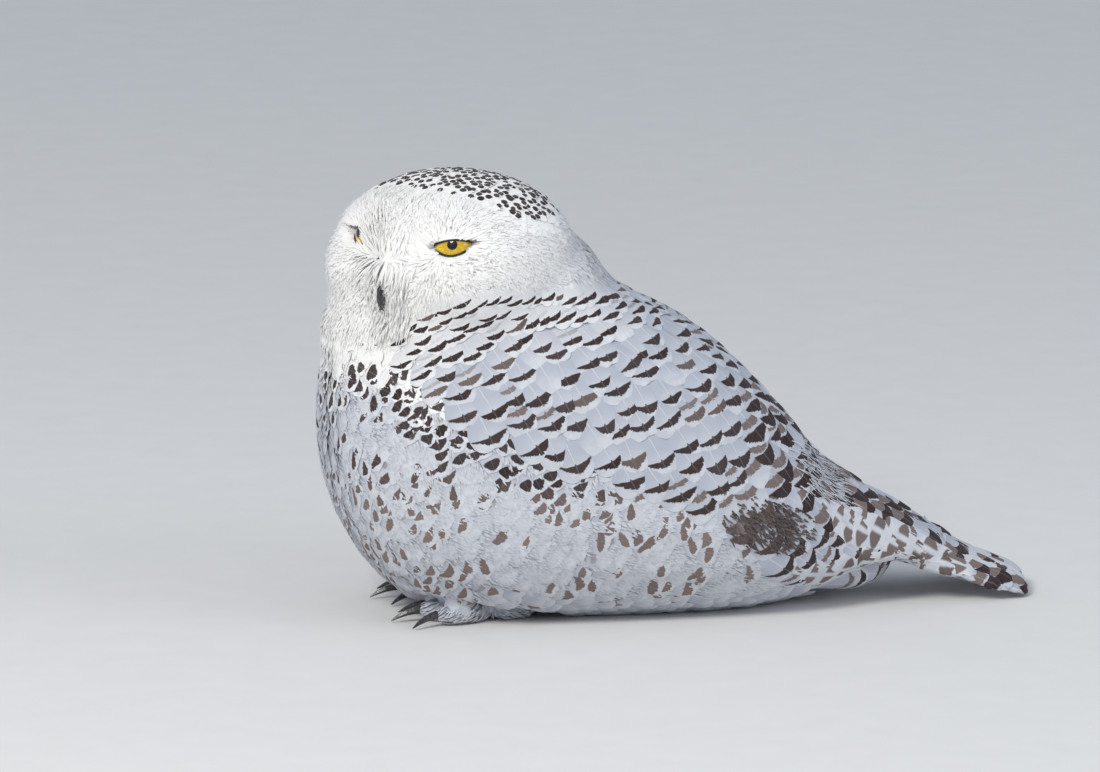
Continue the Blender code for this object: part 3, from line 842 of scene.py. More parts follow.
def add_vanes(name, roots, finish, marks, like=None, **changes):
    """One coat piece: closed vanes laid from their roots, as the table of lays says."""
    form = MADE["form"]
    lay = dict(LAYS[like or name], **changes)
    kind = KINDS[lay["kind"]]
    random = np.random.default_rng(lay["seed"])
    count = len(roots)
    lengths = lay["length"] * (1 + random.normal(0, lay["spread"], count)).clip(0.6, 1.5)
    widths = lay["width"] * (1 + random.normal(0, lay["spread"], count)).clip(0.6, 1.5)
    lift = lay["lift"] + lay["fluff"] * random.random(count)
    path = lay_paths(form, roots, lengths, lift, lay, random)
    if lay["clear_marks"]:
        clear = clear_of_marks(path[0])
        roots, widths, path = roots[clear], widths[clear], [part[clear] for part in path]
        marks = part_of(marks, clear)
    points, goals, u, v = vane_rings(form, path, widths, lay, random)
    count, each = points.shape[:2]
    offsets = np.arange(count) * each
    faces = []
    pattern = vane_faces(kind)
    for size in sorted({len(f) for f in pattern}):
        group = np.array([f for f in pattern if len(f) == size])
        faces.append((group[None] + offsets[:, None, None]).reshape(-1, size))
    piece = new_piece(name, points.reshape(-1, 3), faces, finish)
    mesh = piece.data
    soften(mesh, goals.reshape(-1, 3), lay["soft"])
    filled = mark_rows(marks, count)
    filled["seed"] = random.random(count)
    for layer, keys in LAYERS:
        add_vector(mesh, layer, np.repeat(np.stack([filled[k] for k in keys], 1), each, axis=0))
    add_uv(mesh, "vane", np.stack([np.tile(u, count), np.tile(v, count)], 1))
    centre, size = bake_patches(roots, lay["on_head"], lay["kind"] in ("plume", "feather"))
    patch = np.stack([u - 0.5, v - 0.5], 1)[None] * size[:, None, None] + centre[:, None]
    add_uv(mesh, "OFBake", patch.reshape(-1, 2))
    mesh.uv_layers["OFBake"].active = True
    if lay["kind"] != "wisp":
        record_marks(kind, filled, points, u, v)


def soften(mesh, goals, share):
    """Turns the shading part of the way to the form's own, above and below, so that the coat looks soft."""
    corners = np.zeros(len(mesh.loops), np.int32)
    mesh.loops.foreach_get("vertex_index", corners)
    sizes = np.zeros(len(mesh.polygons), np.int32)
    mesh.polygons.foreach_get("loop_total", sizes)
    facing = np.zeros(len(mesh.polygons) * 3, np.float32)
    mesh.polygons.foreach_get("normal", facing)
    facing = np.repeat(facing.reshape(-1, 3), sizes, axis=0)
    own = np.zeros(len(mesh.vertices) * 3, np.float32)
    mesh.vertex_normals.foreach_get("vector", own)
    own = own.reshape(-1, 3)[corners]
    goal = goals[corners]
    above = dot(facing, goal)[:, None] > 0
    own = np.where(dot(own, facing)[:, None] > 0.3, own, facing)
    turned = unit(blend(own, np.where(above, goal, -goal), share))
    mesh.normals_split_custom_set(turned.astype(np.float32))


def nearby_marks(places):
    """Darkness of the marked feathers that lie on top at some places, from their outermost point."""
    marks = np.concatenate(MADE["marks"])
    if MADE.get("mark_count") != len(marks):
        tree = KDTree(len(marks))
        for i, p in enumerate(marks[:, :3].tolist()):
            tree.insert(p, i)
        tree.balance()
        MADE["mark_tree"], MADE["mark_count"] = tree, len(marks)
    found = [MADE["mark_tree"].find_n(p, 8) for p in places.tolist()]
    rows = np.array([[f[1] for f in near] for near in found])
    gaps = np.array([[f[2] for f in near] for near in found])
    far_up = np.where(gaps < gaps[:, :1] + 0.0016, marks[rows, 4], 0)
    top = far_up.argmax(1)
    each = np.arange(len(rows))
    near = 1 - ease(0.004, 0.007, gaps[each, top])
    return marks[rows[each, top], 3] * near


# Finishes


class Value:
    """A number worked out by a finish's nodes, with Python's own signs for the sums."""

    def __init__(self, finish, socket):
        self.finish = finish
        self.socket = socket

    def __add__(self, other):
        return self.finish.math("ADD", self, other)

    def __sub__(self, other):
        return self.finish.math("SUBTRACT", self, other)

    def __rsub__(self, other):
        return self.finish.math("SUBTRACT", other, self)

    def __mul__(self, other):
        return self.finish.math("MULTIPLY", self, other)

    def __truediv__(self, other):
        return self.finish.math("DIVIDE", self, other)

    def __pow__(self, other):
        return self.finish.math("POWER", self, other)

    def __abs__(self):
        return self.finish.math("ABSOLUTE", self)


class Finish:
    """A node material, built up one node at a time."""

    def __init__(self, name):
        self.material = bpy.data.materials.new(name)
        self.material.use_nodes = True
        self.tree = self.material.node_tree
        self.shader = self.tree.nodes["Principled BSDF"]
        self.colours = bpy.context.scene.owl_colours

    def node(self, kind, **settings):
        node = self.tree.nodes.new(kind)
        for key, value in settings.items():
            setattr(node, key, value)
        return node

    def give(self, socket, value):
        if isinstance(value, Value):
            self.tree.links.new(value.socket, socket)
        else:
            socket.default_value = value

    def give_named(self, node, **values):
        for key, value in values.items():
            self.give(node.inputs[key.replace("_", " ")], value)

    def give_ordered(self, node, *values):
        for socket, value in zip(node.inputs, values):
            self.give(socket, value)

    def math(self, operation, *values, clamp=False):
        node = self.node("ShaderNodeMath", operation=operation, use_clamp=clamp)
        self.give_ordered(node, *values)
        return Value(self, node.outputs[0])

    def most(self, a, b):
        return self.math("MAXIMUM", a, b)

    def ramp(self, value, low, high, start=0.0, end=1.0):
        node = self.node("ShaderNodeMapRange", interpolation_type="SMOOTHSTEP")
        self.give_named(node, Value=value, From_Min=low, From_Max=high, To_Min=start, To_Max=end)
        return Value(self, node.outputs[0])

    def mix(self, share, a, b):
        node = self.node("ShaderNodeMix", data_type="RGBA")
        self.give(node.inputs[0], share)
        for socket, value in ((node.inputs[6], a), (node.inputs[7], b)):
            self.give(socket, value if isinstance(value, Value) else (*value[:3], 1.0))
        return Value(self, node.outputs[2])

    def parts(self, vector):
        node = self.node("ShaderNodeSeparateXYZ")
        self.give_ordered(node, vector)
        return [Value(self, socket) for socket in node.outputs]

    def join(self, x, y, z):
        node = self.node("ShaderNodeCombineXYZ")
        self.give_ordered(node, x, y, z)
        return Value(self, node.outputs[0])

    def layer(self, name):
        node = self.node("ShaderNodeAttribute", attribute_name=name)
        return self.parts(Value(self, node.outputs["Vector"]))

    def uv(self, name):
        return self.parts(Value(self, self.node("ShaderNodeUVMap", uv_map=name).outputs[0]))

    def place(self):
        return Value(self, self.node("ShaderNodeTexCoord").outputs["Object"])

    def noise(self, vector, scale, detail=2.0, rough=0.5):
        node = self.node("ShaderNodeTexNoise")
        self.give_named(node, Vector=vector, Scale=scale, Detail=detail, Roughness=rough)
        return Value(self, node.outputs["Fac"])

    def bump(self, height, distance, strength):
        node = self.node("ShaderNodeBump")
        self.give_named(node, Height=height, Distance=distance, Strength=strength)
        self.set(Normal=Value(self, node.outputs[0]))

    def set(self, **values):
        self.give_named(self.shader, **values)


def vane_finish(name, barbs, roughness, painted_shade_end=0.75, relief=0.0005, torn=1.0):
    """Feather vane with a shaft, slanting barbs, bars with ragged edges, and painted shade towards the root
    and in soft patches.
    """
    f = Finish(name)
    c = f.colours
    u, v, _ = f.uv("vane")
    strength, place, thick = f.layer("mark")
    second, curve, span = f.layer("form")
    count, split, gap = f.layer("more")
    seed, tint, warm = f.layer("self")
    skew, swell, _ = f.layer("lean")
    s = u * 2.0 - 1.0
    side = abs(s)
    square = s * s
    barb = v - side * 0.16
    shift = seed * 57.0
    barb_place = f.join(side * 0.6, barb * barbs, shift + f.math("SIGN", s))
    teeth = f.noise(barb_place, 1.0, 3.0, 0.65)
    soft = f.noise(f.join(s * 1.3, v * 6.0, shift), 1.0)

    # Which bar is nearest, counted from the tip, and how far off it is
    bent = place - (skew * s + curve * square)
    wave = soft * 0.07 - 0.035
    steps = (bent + wave - v) / gap
    number = f.most(f.math("MINIMUM", f.math("ROUND", steps), count), 0.0)
    first = f.math("LESS_THAN", number, 0.5)
    off = (steps - number) * gap

    # Ragged edge towards the tip, and a spike along the shaft on the other side
    coarse = f.noise(f.join(side * 0.3, barb * (barbs * 0.38), shift), 1.0, 3.0, 0.7)
    ragged = (coarse * 0.13 + (teeth * 0.05 - 0.09)) * torn
    tip_side = f.math("LESS_THAN", off, 0.0) * ragged
    spike = f.ramp(side, 0.0, 0.08, 0.030, 0.0) * f.math("GREATER_THAN", off, 0.0)
    off = abs(off) + tip_side - spike
    wide = thick * (s * swell + 1.0) * (square * -0.5 + 1.0) * (first * 0.4 + 0.6)
    over = f.most(off / f.most(wide, 0.001), 0.0)
    reach = (side / f.most(span, 0.01)) ** 3.0
    mask = f.ramp(over * over + reach, 0.72, 1.2, 1.0, 0.0)
    parted = 1.0 - split + split * f.ramp(side, 0.05, 0.2)
    power = first * strength + (1.0 - first) * second
    mask = f.math("MULTIPLY", mask, parted * power, clamp=True)
    worn = f.ramp(f.noise(barb_place, 2.2, 4.0, 0.7), 0.25, 0.62)
    mask = f.math("MULTIPLY", mask, worn * 0.03 + 0.97, clamp=True)

    # Colours of the bars, the vane with its painted shade, and the shaft
    bar = f.mix(f.ramp(teeth, 0.35, 0.7), c.bar, c.bar_core)
    # Faded bars, and on the face the painted shade at the eyes' inner corners, take the pale bar colour.
    bar = f.mix(f.most(tint, (1.0 - first) * 0.8), bar, c.pale_bar_and_shade)
    white = f.mix(warm, c.white, c.face)
    painted_shade = f.mix(warm, c.painted_shade, c.face_painted_shade)
    # Painted shade: each vane darkens from its painted shade end back to its root, for the shadow of the
    # feathers that lie over it.
    vane = f.mix(f.ramp(v, painted_shade_end - 0.45, painted_shade_end), painted_shade, white)
    # More painted shade in soft patches over each vane, for the soft shadows near the feather edges; the same
    # noise also bends the bars.
    vane = f.mix(f.ramp(soft, 0.35, 0.75) * 0.45, vane, painted_shade)
    # Barb grain, drawn in the painted shade colour.
    vane = f.mix(f.ramp(teeth, 0.30, 0.75, 0.0, 0.16), vane, painted_shade)
    shaft = f.ramp(side * (v * 0.7 + 1.0), 0.025, 0.075, 1.0, 0.0)
    coat = f.mix(mask, vane, bar)
    coat = f.mix(shaft * (mask * -0.50 + 0.60), coat, white)
    f.set(Base_Color=coat, Roughness=roughness, Specular_IOR_Level=0.10)
    f.bump(teeth * 0.6 + shaft * 0.8, relief, 0.6)
    return f.material


def skin_finish():
    """Downy skin with the coat's own bars, and bare dark skin round the eyes."""
    f = Finish("downy_skin")
    c = f.colours
    bars, bare, warm = f.layer("skin")
    down = f.noise(f.place(), 420.0, 4.0, 0.6)
    # The down's fine noise runs between the painted shade colour and white.
    white = f.mix(f.ramp(down, 0.3, 0.75), c.painted_shade, c.white)
    white = f.mix(warm, white, c.face)
    coat = f.mix(bars, white, c.bar)
    coat = f.mix(bare, coat, c.lid)
    f.set(Base_Color=coat, Roughness=0.8, Sheen_Weight=0.2, Specular_IOR_Level=0.2)
    f.bump(down, 0.0008, 0.8)
    return f.material


def eye_finish():
    """Yellow iris with fine rays, painted shadow of the upper lid over its top, a dark pupil and a dark outer
    ring under a clear wet coat.
    """
    f = Finish("wet_eye")
    c = f.colours
    turn, polar, _ = f.uv("eye")
    angle = turn * (2 * math.pi)
    ray = f.join(f.math("COSINE", angle), f.math("SINE", angle), polar * 1.5)
    rays = f.noise(ray, 9.0, 5.0, 0.7)
    fine = f.noise(ray, 34.0, 3.0, 0.7)
    # Height over the pupil, for the painted shadow of the upper lid.
    high = f.math("SINE", angle) * polar
    iris = f.mix(f.ramp(rays, 0.35, 0.65), c.iris, c.iris_deep_and_shadow)
    iris = f.mix(f.ramp(fine, 0.5, 0.75, 0.0, 0.35), iris, c.iris_bright)
    iris = f.mix(f.ramp(polar, 0.10, 0.17, 0.45, 0.0), iris, c.iris_deep_and_shadow)
    # Painted shadow of the upper lid: the iris darkens towards its top.
    iris = f.mix(f.ramp(high, -0.02, 0.075, 0.0, 0.8), iris, c.iris_deep_and_shadow)
    iris = f.mix(f.ramp(polar, 0.27, 0.35), iris, c.lid)
    pupil = (0.003, 0.003, 0.004)
    coat = f.mix(f.ramp(fine * 0.006 + polar, 0.066, 0.073), pupil, iris)
    f.set(Base_Color=coat, Roughness=0.35, Specular_IOR_Level=0.15, Coat_Weight=0.9, Coat_Roughness=0.03)
    f.bump(rays, 0.0002, 0.25)
    return f.material


def horn_finish():
    """Slaty black horn with long growth lines and a paler worn edge."""
    f = Finish("black_horn")
    c = f.colours
    x, y, z = f.parts(f.place())
    lines = f.noise(f.join(x * 900.0, y * 900.0, z * 160.0), 1.0, 3.0)
    cloud = f.noise(f.place(), 180.0, 3.0)
    coat = f.mix(f.ramp(lines, 0.35, 0.7), c.horn, c.horn_pale)
    coat = f.mix(f.ramp(cloud, 0.4, 0.8, 0.0, 0.5), coat, c.horn)
    worn = f.ramp(lines, 0.3, 0.7, 0.26, 0.42)
    f.set(Base_Color=coat, Roughness=worn, Coat_Weight=0.25, Coat_Roughness=0.15)
    f.bump(lines, 0.0002, 0.4)
    return f.material


def lid_finish():
    """Thin dark wrinkled rim of the eyelids."""
    f = Finish("dark_lid")
    c = f.colours
    folds = f.noise(f.place(), 900.0, 3.0)
    away, _, _ = f.layer("rim")
    dark = f.mix(f.ramp(folds, 0.3, 0.7), c.lid, c.bar)
    # The collar's folds run between the face's painted shade colour and its white.
    down = f.mix(folds, c.face_painted_shade, c.face)
    edge = f.ramp(folds * 0.4 + away, 0.95, 1.5)
    f.set(Base_Color=f.mix(edge, dark, down), Roughness=0.5, Specular_IOR_Level=0.3)
    f.bump(folds, 0.0002, 0.5)
    return f.material


# Settings


def colour(name, text, default):
    return bpy.props.FloatVectorProperty(
        name=name, description=text, subtype="COLOR", size=3, min=0.0, max=1.0, default=default
    )


def amount(name, text, default, unit="NONE"):
    return bpy.props.FloatProperty(name=name, description=text, unit=unit, min=0.0, default=default)


def length(name, text, default):
    return amount(name, text, default, "LENGTH")


class OwlSizes(bpy.types.PropertyGroup):
    """Sizes of the coat"""

    face_depth: length("Face depth", "Depth of the coat on the head", 0.0022)
    body_depth: length("Body depth", "Depth of the coat on breast, belly and neck", 0.0038)
    wing_depth: length("Wing depth", "Depth of the coat on the wings", 0.0032)
    tail_depth: length("Tail depth", "Depth of the coat on the tail", 0.0020)
    leg_depth: length("Leg depth", "Depth of the coat on legs and toes", 0.0018)
    wing_spacing: length("Wing spacing", "Distance between feather tips on the wing", 0.0165)
    shoulder_spacing: length("Shoulder spacing", "Distance between feather tips at the shoulder", 0.0068)
    breast_spacing: length("Breast spacing", "Distance between feather tips on the breast", 0.0085)
    crown_spacing: length("Crown spacing", "Distance between the scales of the crown", 0.0046)
    voxel: length("Form detail", "Grain of the surface that the coat is laid on", 0.0026)


class OwlColours(bpy.types.PropertyGroup):
    """Colours of the coat, eyes and horn"""

    white: colour("White", "Feather tips", (0.678, 0.690, 0.724))
    # Painted shade: the vanes darken to this towards their roots and in soft patches; barb grain and the
    # skin's down noise use it too.
    painted_shade: colour("Shade", "Feather roots", (0.445, 0.47, 0.535))
    face: colour("Face", "Warm white of the face", (0.96, 0.95, 0.93))
    # Painted shade of the face's vanes, towards their roots and in soft patches.
    face_painted_shade: colour("Face shade", "Roots of the face feathers", (0.90, 0.88, 0.85))
    bar: colour("Bar", "Dark bars", (0.050, 0.030, 0.029))
    bar_core: colour("Bar core", "Darkest part of the bars", (0.018, 0.010, 0.010))
    # Also the colour of the painted shade at the eyes' inner corners.
    pale_bar_and_shade: colour("Pale bar", "Faded bars", (0.22, 0.165, 0.145))
    iris: colour("Iris", "Yellow of the eye", (0.93, 0.66, 0.03))
    # Also the painted shadow of the upper lid over the top of the iris.
    iris_deep_and_shadow: colour("Deep iris", "Darker rays of the eye", (0.50, 0.29, 0.01))
    iris_bright: colour("Bright iris", "Lighter rays of the eye", (1.0, 0.84, 0.16))
    lid: colour("Lid", "Rim of the eye", (0.018, 0.012, 0.010))
    horn: colour("Horn", "Bill and claws", (0.012, 0.012, 0.014))
    horn_pale: colour("Pale horn", "Worn horn", (0.060, 0.060, 0.068))


class OwlStage(bpy.types.PropertyGroup):
    """Floor, light and camera"""

    floor: colour("Floor", "Pale floor", (0.84, 0.83, 0.81))
    key_power: amount("Key light", "Power of the main light", 100.0, "POWER")
    fill_power: amount("Fill light", "Power of the second light", 22.0, "POWER")
    sky: amount("Sky", "Strength of the light all round", 0.52)
    distance: length("Camera distance", "From the camera to the bird", 10.0)
    view_width: length("View width", "Width of the view at the bird", 0.748)


# Pieces


class OWL_OT_skin(bpy.types.Operator):
    """Make the one skin that stands for all the flesh, the coat's depth under the feather tips"""

    bl_idname = "owl.skin"
    bl_label = "Skin"

    def execute(self, context):
        form = MADE["form"] = Form(context.scene.owl_sizes.voxel, smoothing=9)
        points = form.points - form.normals * form.depth[:, None]
        away = outside_lids(form.points)
        for side in (1, -1):
            points = self.round_eye(points, away, side)
        skin = new_piece("skin", points, [form.faces], skin_finish())
        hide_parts(*FLESH)
        add_uv(skin.data, "OFBake", chart_places(points, False))
        MADE["skin"] = skin
        MADE["bare"] = 1 - ease(0.0012, 0.0032, away)
        return {"FINISHED"}

    def round_eye(self, points, away, side, sunk=0.0020, clear=0.0009):
        """Sinks the skin behind the eyeball in the lids' opening, and keeps it off the ball elsewhere."""
        q = points - EYE_MIDDLES[side]
        reach = np.linalg.norm(q, axis=1)
        open_part = (away < 0.0030) & (reach < 1.6 * EYE_BALL)
        shut_part = (away >= 0.0030) & (reach < EYE_BALL + clear)
        wanted = np.where(open_part, EYE_BALL - sunk, np.where(shut_part, EYE_BALL + clear, reach))
        return EYE_MIDDLES[side] + q * (wanted / reach)[:, None]


class OWL_OT_eyes(bpy.types.Operator):
    """Make the two eyeballs, with a low bulge over the pupil"""

    bl_idname = "owl.eyes"
    bl_label = "Eyes"

    def execute(self, context):
        finish = eye_finish()
        for node, side in (("eye_left", 1), ("eye_right", -1)):
            piece = self.ball(node + "_ball", side, finish)
            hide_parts(node)
        return {"FINISHED"}

    def ball(self, name, side, finish, around=72, rings=48, bulge=0.0007):
        sight, out, up = eye_axes(side)
        polar = np.linspace(0, math.pi, rings + 1)[1:-1]
        turn = np.arange(around + 1) / around
        p, a = np.meshgrid(polar, turn[:-1] * 2 * math.pi, indexing="ij")
        reach = EYE_BALL + bulge * np.exp(-((p / 0.5) ** 2))
        points = (
            sight * (np.cos(p) * reach)[..., None]
            + out * (np.sin(p) * np.cos(a) * reach)[..., None]
            + up * (np.sin(p) * np.sin(a) * reach)[..., None]
        ).reshape(-1, 3)
        ends = np.array([sight * (EYE_BALL + bulge), -sight * EYE_BALL])
        points = np.concatenate([points, ends]) + EYE_MIDDLES[side]
        quads, tris, quad_uv, tri_uv = [], [], [], []
        for i in range(rings - 2):
            for j in range(around):
                here, below, k = i * around, (i + 1) * around, (j + 1) % around
                quads.append((here + j, below + j, below + k, here + k))
                quad_uv += [(turn[j], polar[i]), (turn[j], polar[i + 1])]
                quad_uv += [(turn[j + 1], polar[i + 1]), (turn[j + 1], polar[i])]
        last = (rings - 2) * around
        for j in range(around):
            k = (j + 1) % around
            tris += [(j, k, len(points) - 2), (last + k, last + j, len(points) - 1)]
            tri_uv += [(turn[j], polar[0]), (turn[j + 1], polar[0]), (turn[j], 0)]
            tri_uv += [(turn[j + 1], polar[-1]), (turn[j], polar[-1]), (turn[j], math.pi)]
        faces, uvs = [], []
        for group, places in ((tris, tri_uv), (quads, quad_uv)):
            group = np.array(group)
            places = np.array(places).reshape(*group.shape, 2)
            faces.append(group[:, ::side])
            uvs.append(places[:, ::side].reshape(-1, 2))
        piece = new_piece(name, points, faces, finish)
        uv = np.concatenate(uvs) / (1, math.pi)
        layer = piece.data.uv_layers.new(name="eye")
        layer.data.foreach_set("uv", uv.astype(np.float32).ravel())
        return piece


class OWL_OT_lids(bpy.types.Operator):
    """Make the dark rims of the lids, drawn out to a point at each corner"""

    bl_idname = "owl.lids"
    bl_label = "Eyelids"

    def execute(self, context):
        finish = lid_finish()
        for name, side in (("lids_left", 1), ("lids_right", -1)):
            self.rim(name, side, finish)
        return {"FINISHED"}

    def rim(self, name, side, finish, along=128, wide=0.0075, thick=0.0007):
        """Closed plate round the eye: a rounded dark edge, then a collar under the face's feathers."""
        sight, out, up = eye_axes(side)
        angle = np.arange(along) / along * 2 * math.pi
        a = np.cos(angle)
        height = np.sign(np.sin(angle)) * lid_height(a, np.sin(angle) > 0)
        a = a * LID_HALF_LENGTH
        height = height + LID_TILT * a
        edge = np.stack([a, height], 1)
        ahead = unit(np.roll(edge, -3, 0) - np.roll(edge, 3, 0))
        outwards = np.stack([ahead[:, 1], -ahead[:, 0]], 1)
        edge_profile = ((0.0000, 0.0002), (-0.0003, 0.0006), (0.0000, 0.0011), (0.0008, 0.0013))
        collar_top = ((0.0018, 0.0011), (0.0040, 0.0012), (wide, 0.0016))
        collar_foot = ((wide, 0.0016 - thick), (0.0040, 0.0004), (0.0018, 0.0002))
        profile = edge_profile + collar_top + collar_foot
        rings, shares = [], []
        for away, lift in profile:
            flat = edge + outwards * away
            spread = np.linalg.norm(flat, axis=1)
            turn = np.minimum(spread / EYE_BALL, 1.5)
            turn = np.where(turn < 0.9, np.arcsin(np.clip(turn, 0, 0.9)), 1.12 + (turn - 0.9))
            ways = flat / np.maximum(spread, 1e-6)[:, None]
            off_sight = (out * ways[:, :1] + up * ways[:, 1:]) * np.sin(turn)[:, None]
            line = off_sight + sight * np.cos(turn)[:, None]
            rings.append(EYE_MIDDLES[side] + line * (EYE_BALL + lift))
            shares.append(away / (0.0010 + 0.0034 * np.abs(np.cos(angle)) ** 10))
        around = len(profile)
        points = np.stack(rings, 1)
        faces = []
        for i in range(along):
            for j in range(around):
                n, m = (i + 1) % along, (j + 1) % around
                faces.append((i * around + j, n * around + j, n * around + m, i * around + m)[:: side])
        piece = new_piece(name, points.reshape(-1, 3), [np.array(faces)], finish)
        add_vector(piece.data, "rim", np.stack(shares, 1).reshape(-1, 1) * np.ones(3))
        return piece


class OWL_OT_bill(bpy.types.Operator):
    """Make the two halves of the bill from their solids, rounded off, and finish the claws"""

    bl_idname = "owl.bill"
    bl_label = "Bill and claws"

    def execute(self, context):
        finish = horn_finish()
        for node in ("bill_upper", "bill_lower"):
            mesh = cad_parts[node].data.copy()
            mesh.materials.clear()
            mesh.materials.append(finish)
            piece = bpy.data.objects.new(node + "_horn", mesh)
            context.scene.collection.objects.link(piece)
            weld = piece.modifiers.new("weld", "WELD")
            weld.merge_threshold = 0.00002
            rounded = piece.modifiers.new("rounded", "SUBSURF")
            rounded.levels = rounded.render_levels = 2
            for polygon in mesh.polygons:
                polygon.use_smooth = True
            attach(piece, "root")
            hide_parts(node)
        for name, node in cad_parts.items():
            if name.startswith("claw"):
                node.data.materials.clear()
                node.data.materials.append(finish)
        return {"FINISHED"}


def faces_of(*names):
    form = MADE["form"]
    return np.isin(form.node, [(FLESH + EYES).index(n) for n in names])


def head_faces():
    """Masks of the face with the throat, and of the crown, over the head's own faces."""
    centres = MADE["form"].centres
    own = faces_of("head", *EYES) & (outside_lids(centres) > 0.0014)
    crown = own & (above_cap_edge(centres) > -0.002)
    hood, _, _ = tract_of(centres + unit(face_lie(centres)) * 0.009)
    return own & hood & ~crown, crown


class OWL_OT_head_coat(bpy.types.Operator):
    """Lay the fine feathers of the face and the scales of the crown"""

    bl_idname = "owl.head_coat"
    bl_label = "Head coat"

    def execute(self, context):
        form = MADE["form"]
        random = np.random.default_rng(11)
        face, crown = head_faces()
        finish = vane_finish("face_feather", barbs=24.0, roughness=0.8, painted_shade_end=0.4, relief=0.0001)
        clear = face & (outside_lids(form.centres) > 0.0048)
        roots = form.rows(clear, random, gap=even(0.0036), steps=1)
        add_vanes("face_base", roots, finish, dict(warm=whiteness(roots)))
        front = ease(-0.02, 0.02, head_axes(form.centres)[0])
        roots = form.scatter(face / blend(1.5, 1.0, front), random, gap=0.00155)
        marks = dict(WASH, warm=whiteness(roots), strength=corner_shade(roots))
        low = head_axes(roots)[2] < -0.010
        for name, part in (("face_upper", ~low), ("face_lower", low)):
            add_vanes(name, roots[part], finish, part_of(marks, part), like="face")
        roots = form.scatter(clear, random, gap=0.0034)
        add_vanes("face_fuzz", roots, finish, dict(warm=whiteness(roots)))
        self.bristles(face, finish, random)
        finish = vane_finish("crown_feather", barbs=30.0, roughness=0.7, painted_shade_end=0.75, relief=0.0002)
        roots = form.rows(crown, random, gap=even(context.scene.owl_sizes.crown_spacing), steps=5)
        add_vanes("crown", roots, finish, self.crown_marks(roots, random))
        roots = form.scatter(crown, random, gap=0.0026)
        add_vanes("crown_down", roots, finish, dict(warm=whiteness(roots)))
        return {"FINISHED"}

    def bristles(self, face, finish, random):
        """Raised bristles between eyes and bill, and the long ones that sweep down over the bill."""
        form = MADE["form"]
        f, l, u = head_axes(form.centres)
        side = np.abs(l)
        lores = face & (f > 0.045) & (side < 0.026) & (u > -0.012) & (u < 0.040)
        near_bill = face & (f > 0.05) & (side > 0.0008) & (side < 0.020) & (u > -0.026) & (u < 0.013)
        roots = form.scatter(lores * (1 + 1.5 * spot(l, u, BROW_TUFT)), random, gap=0.0018)
        _, l, u = head_axes(roots)
        tuft = spot(l, u, BROW_TUFT)
        lift = 0.0008 + 0.0018 * np.exp(-((np.abs(l) - 0.007) / 0.008) ** 2)
        lift = lift * (1 - ease(0.010, 0.032, u)) + 0.0088 * tuft
        marks = dict(WASH, warm=1.0, strength=0.6 * corner_shade(roots))
        add_vanes("lores", roots, finish, marks, length=0.0130 + 0.003 * tuft, lift=lift)
        roots = form.scatter(near_bill, random, gap=0.0013)
        lift = 0.0060 * (1 - 0.8 * ease(0.009, 0.018, np.abs(head_axes(roots)[1])))
        add_vanes("bill_bristles", roots, finish, dict(WASH, warm=1.0, strength=0.05), lift=lift)

    def crown_marks(self, roots, random):
        """Dark tips over the cap, thinning out towards the nape."""
        tips = MADE["form"].snap(roots + unit(crown_lie(roots)) * 0.011)[0]
        back = ease(0.01, 0.06, -head_axes(tips)[0])
        cap = ease(-0.002, 0.003, above_cap_edge(tips)) * (1 - 0.75 * back)
        spotted = random.random(len(roots)) < 0.84 * cap + 0.03
        strength = spotted * random.uniform(0.95, 1.0, len(roots))
        return dict(strength=strength, place=0.80, thick=0.15, curve=0.05, span=0.88, warm=whiteness(roots))


def breast_gap(places):
    """Distance between the feather tips of breast and flanks: larger low on the flanks."""
    x, y, z = places.T
    low = (1 - ease(0.070, 0.110, z)) * ease(-0.225, -0.17, x)
    return bpy.context.scene.owl_sizes.breast_spacing * (1 + 0.45 * low)


def breast_warmth(places):
    """Breast and flanks are cooler than the hood."""
    return blend(0.45, 0.95, ease(0.160, 0.182, places[:, 2]))


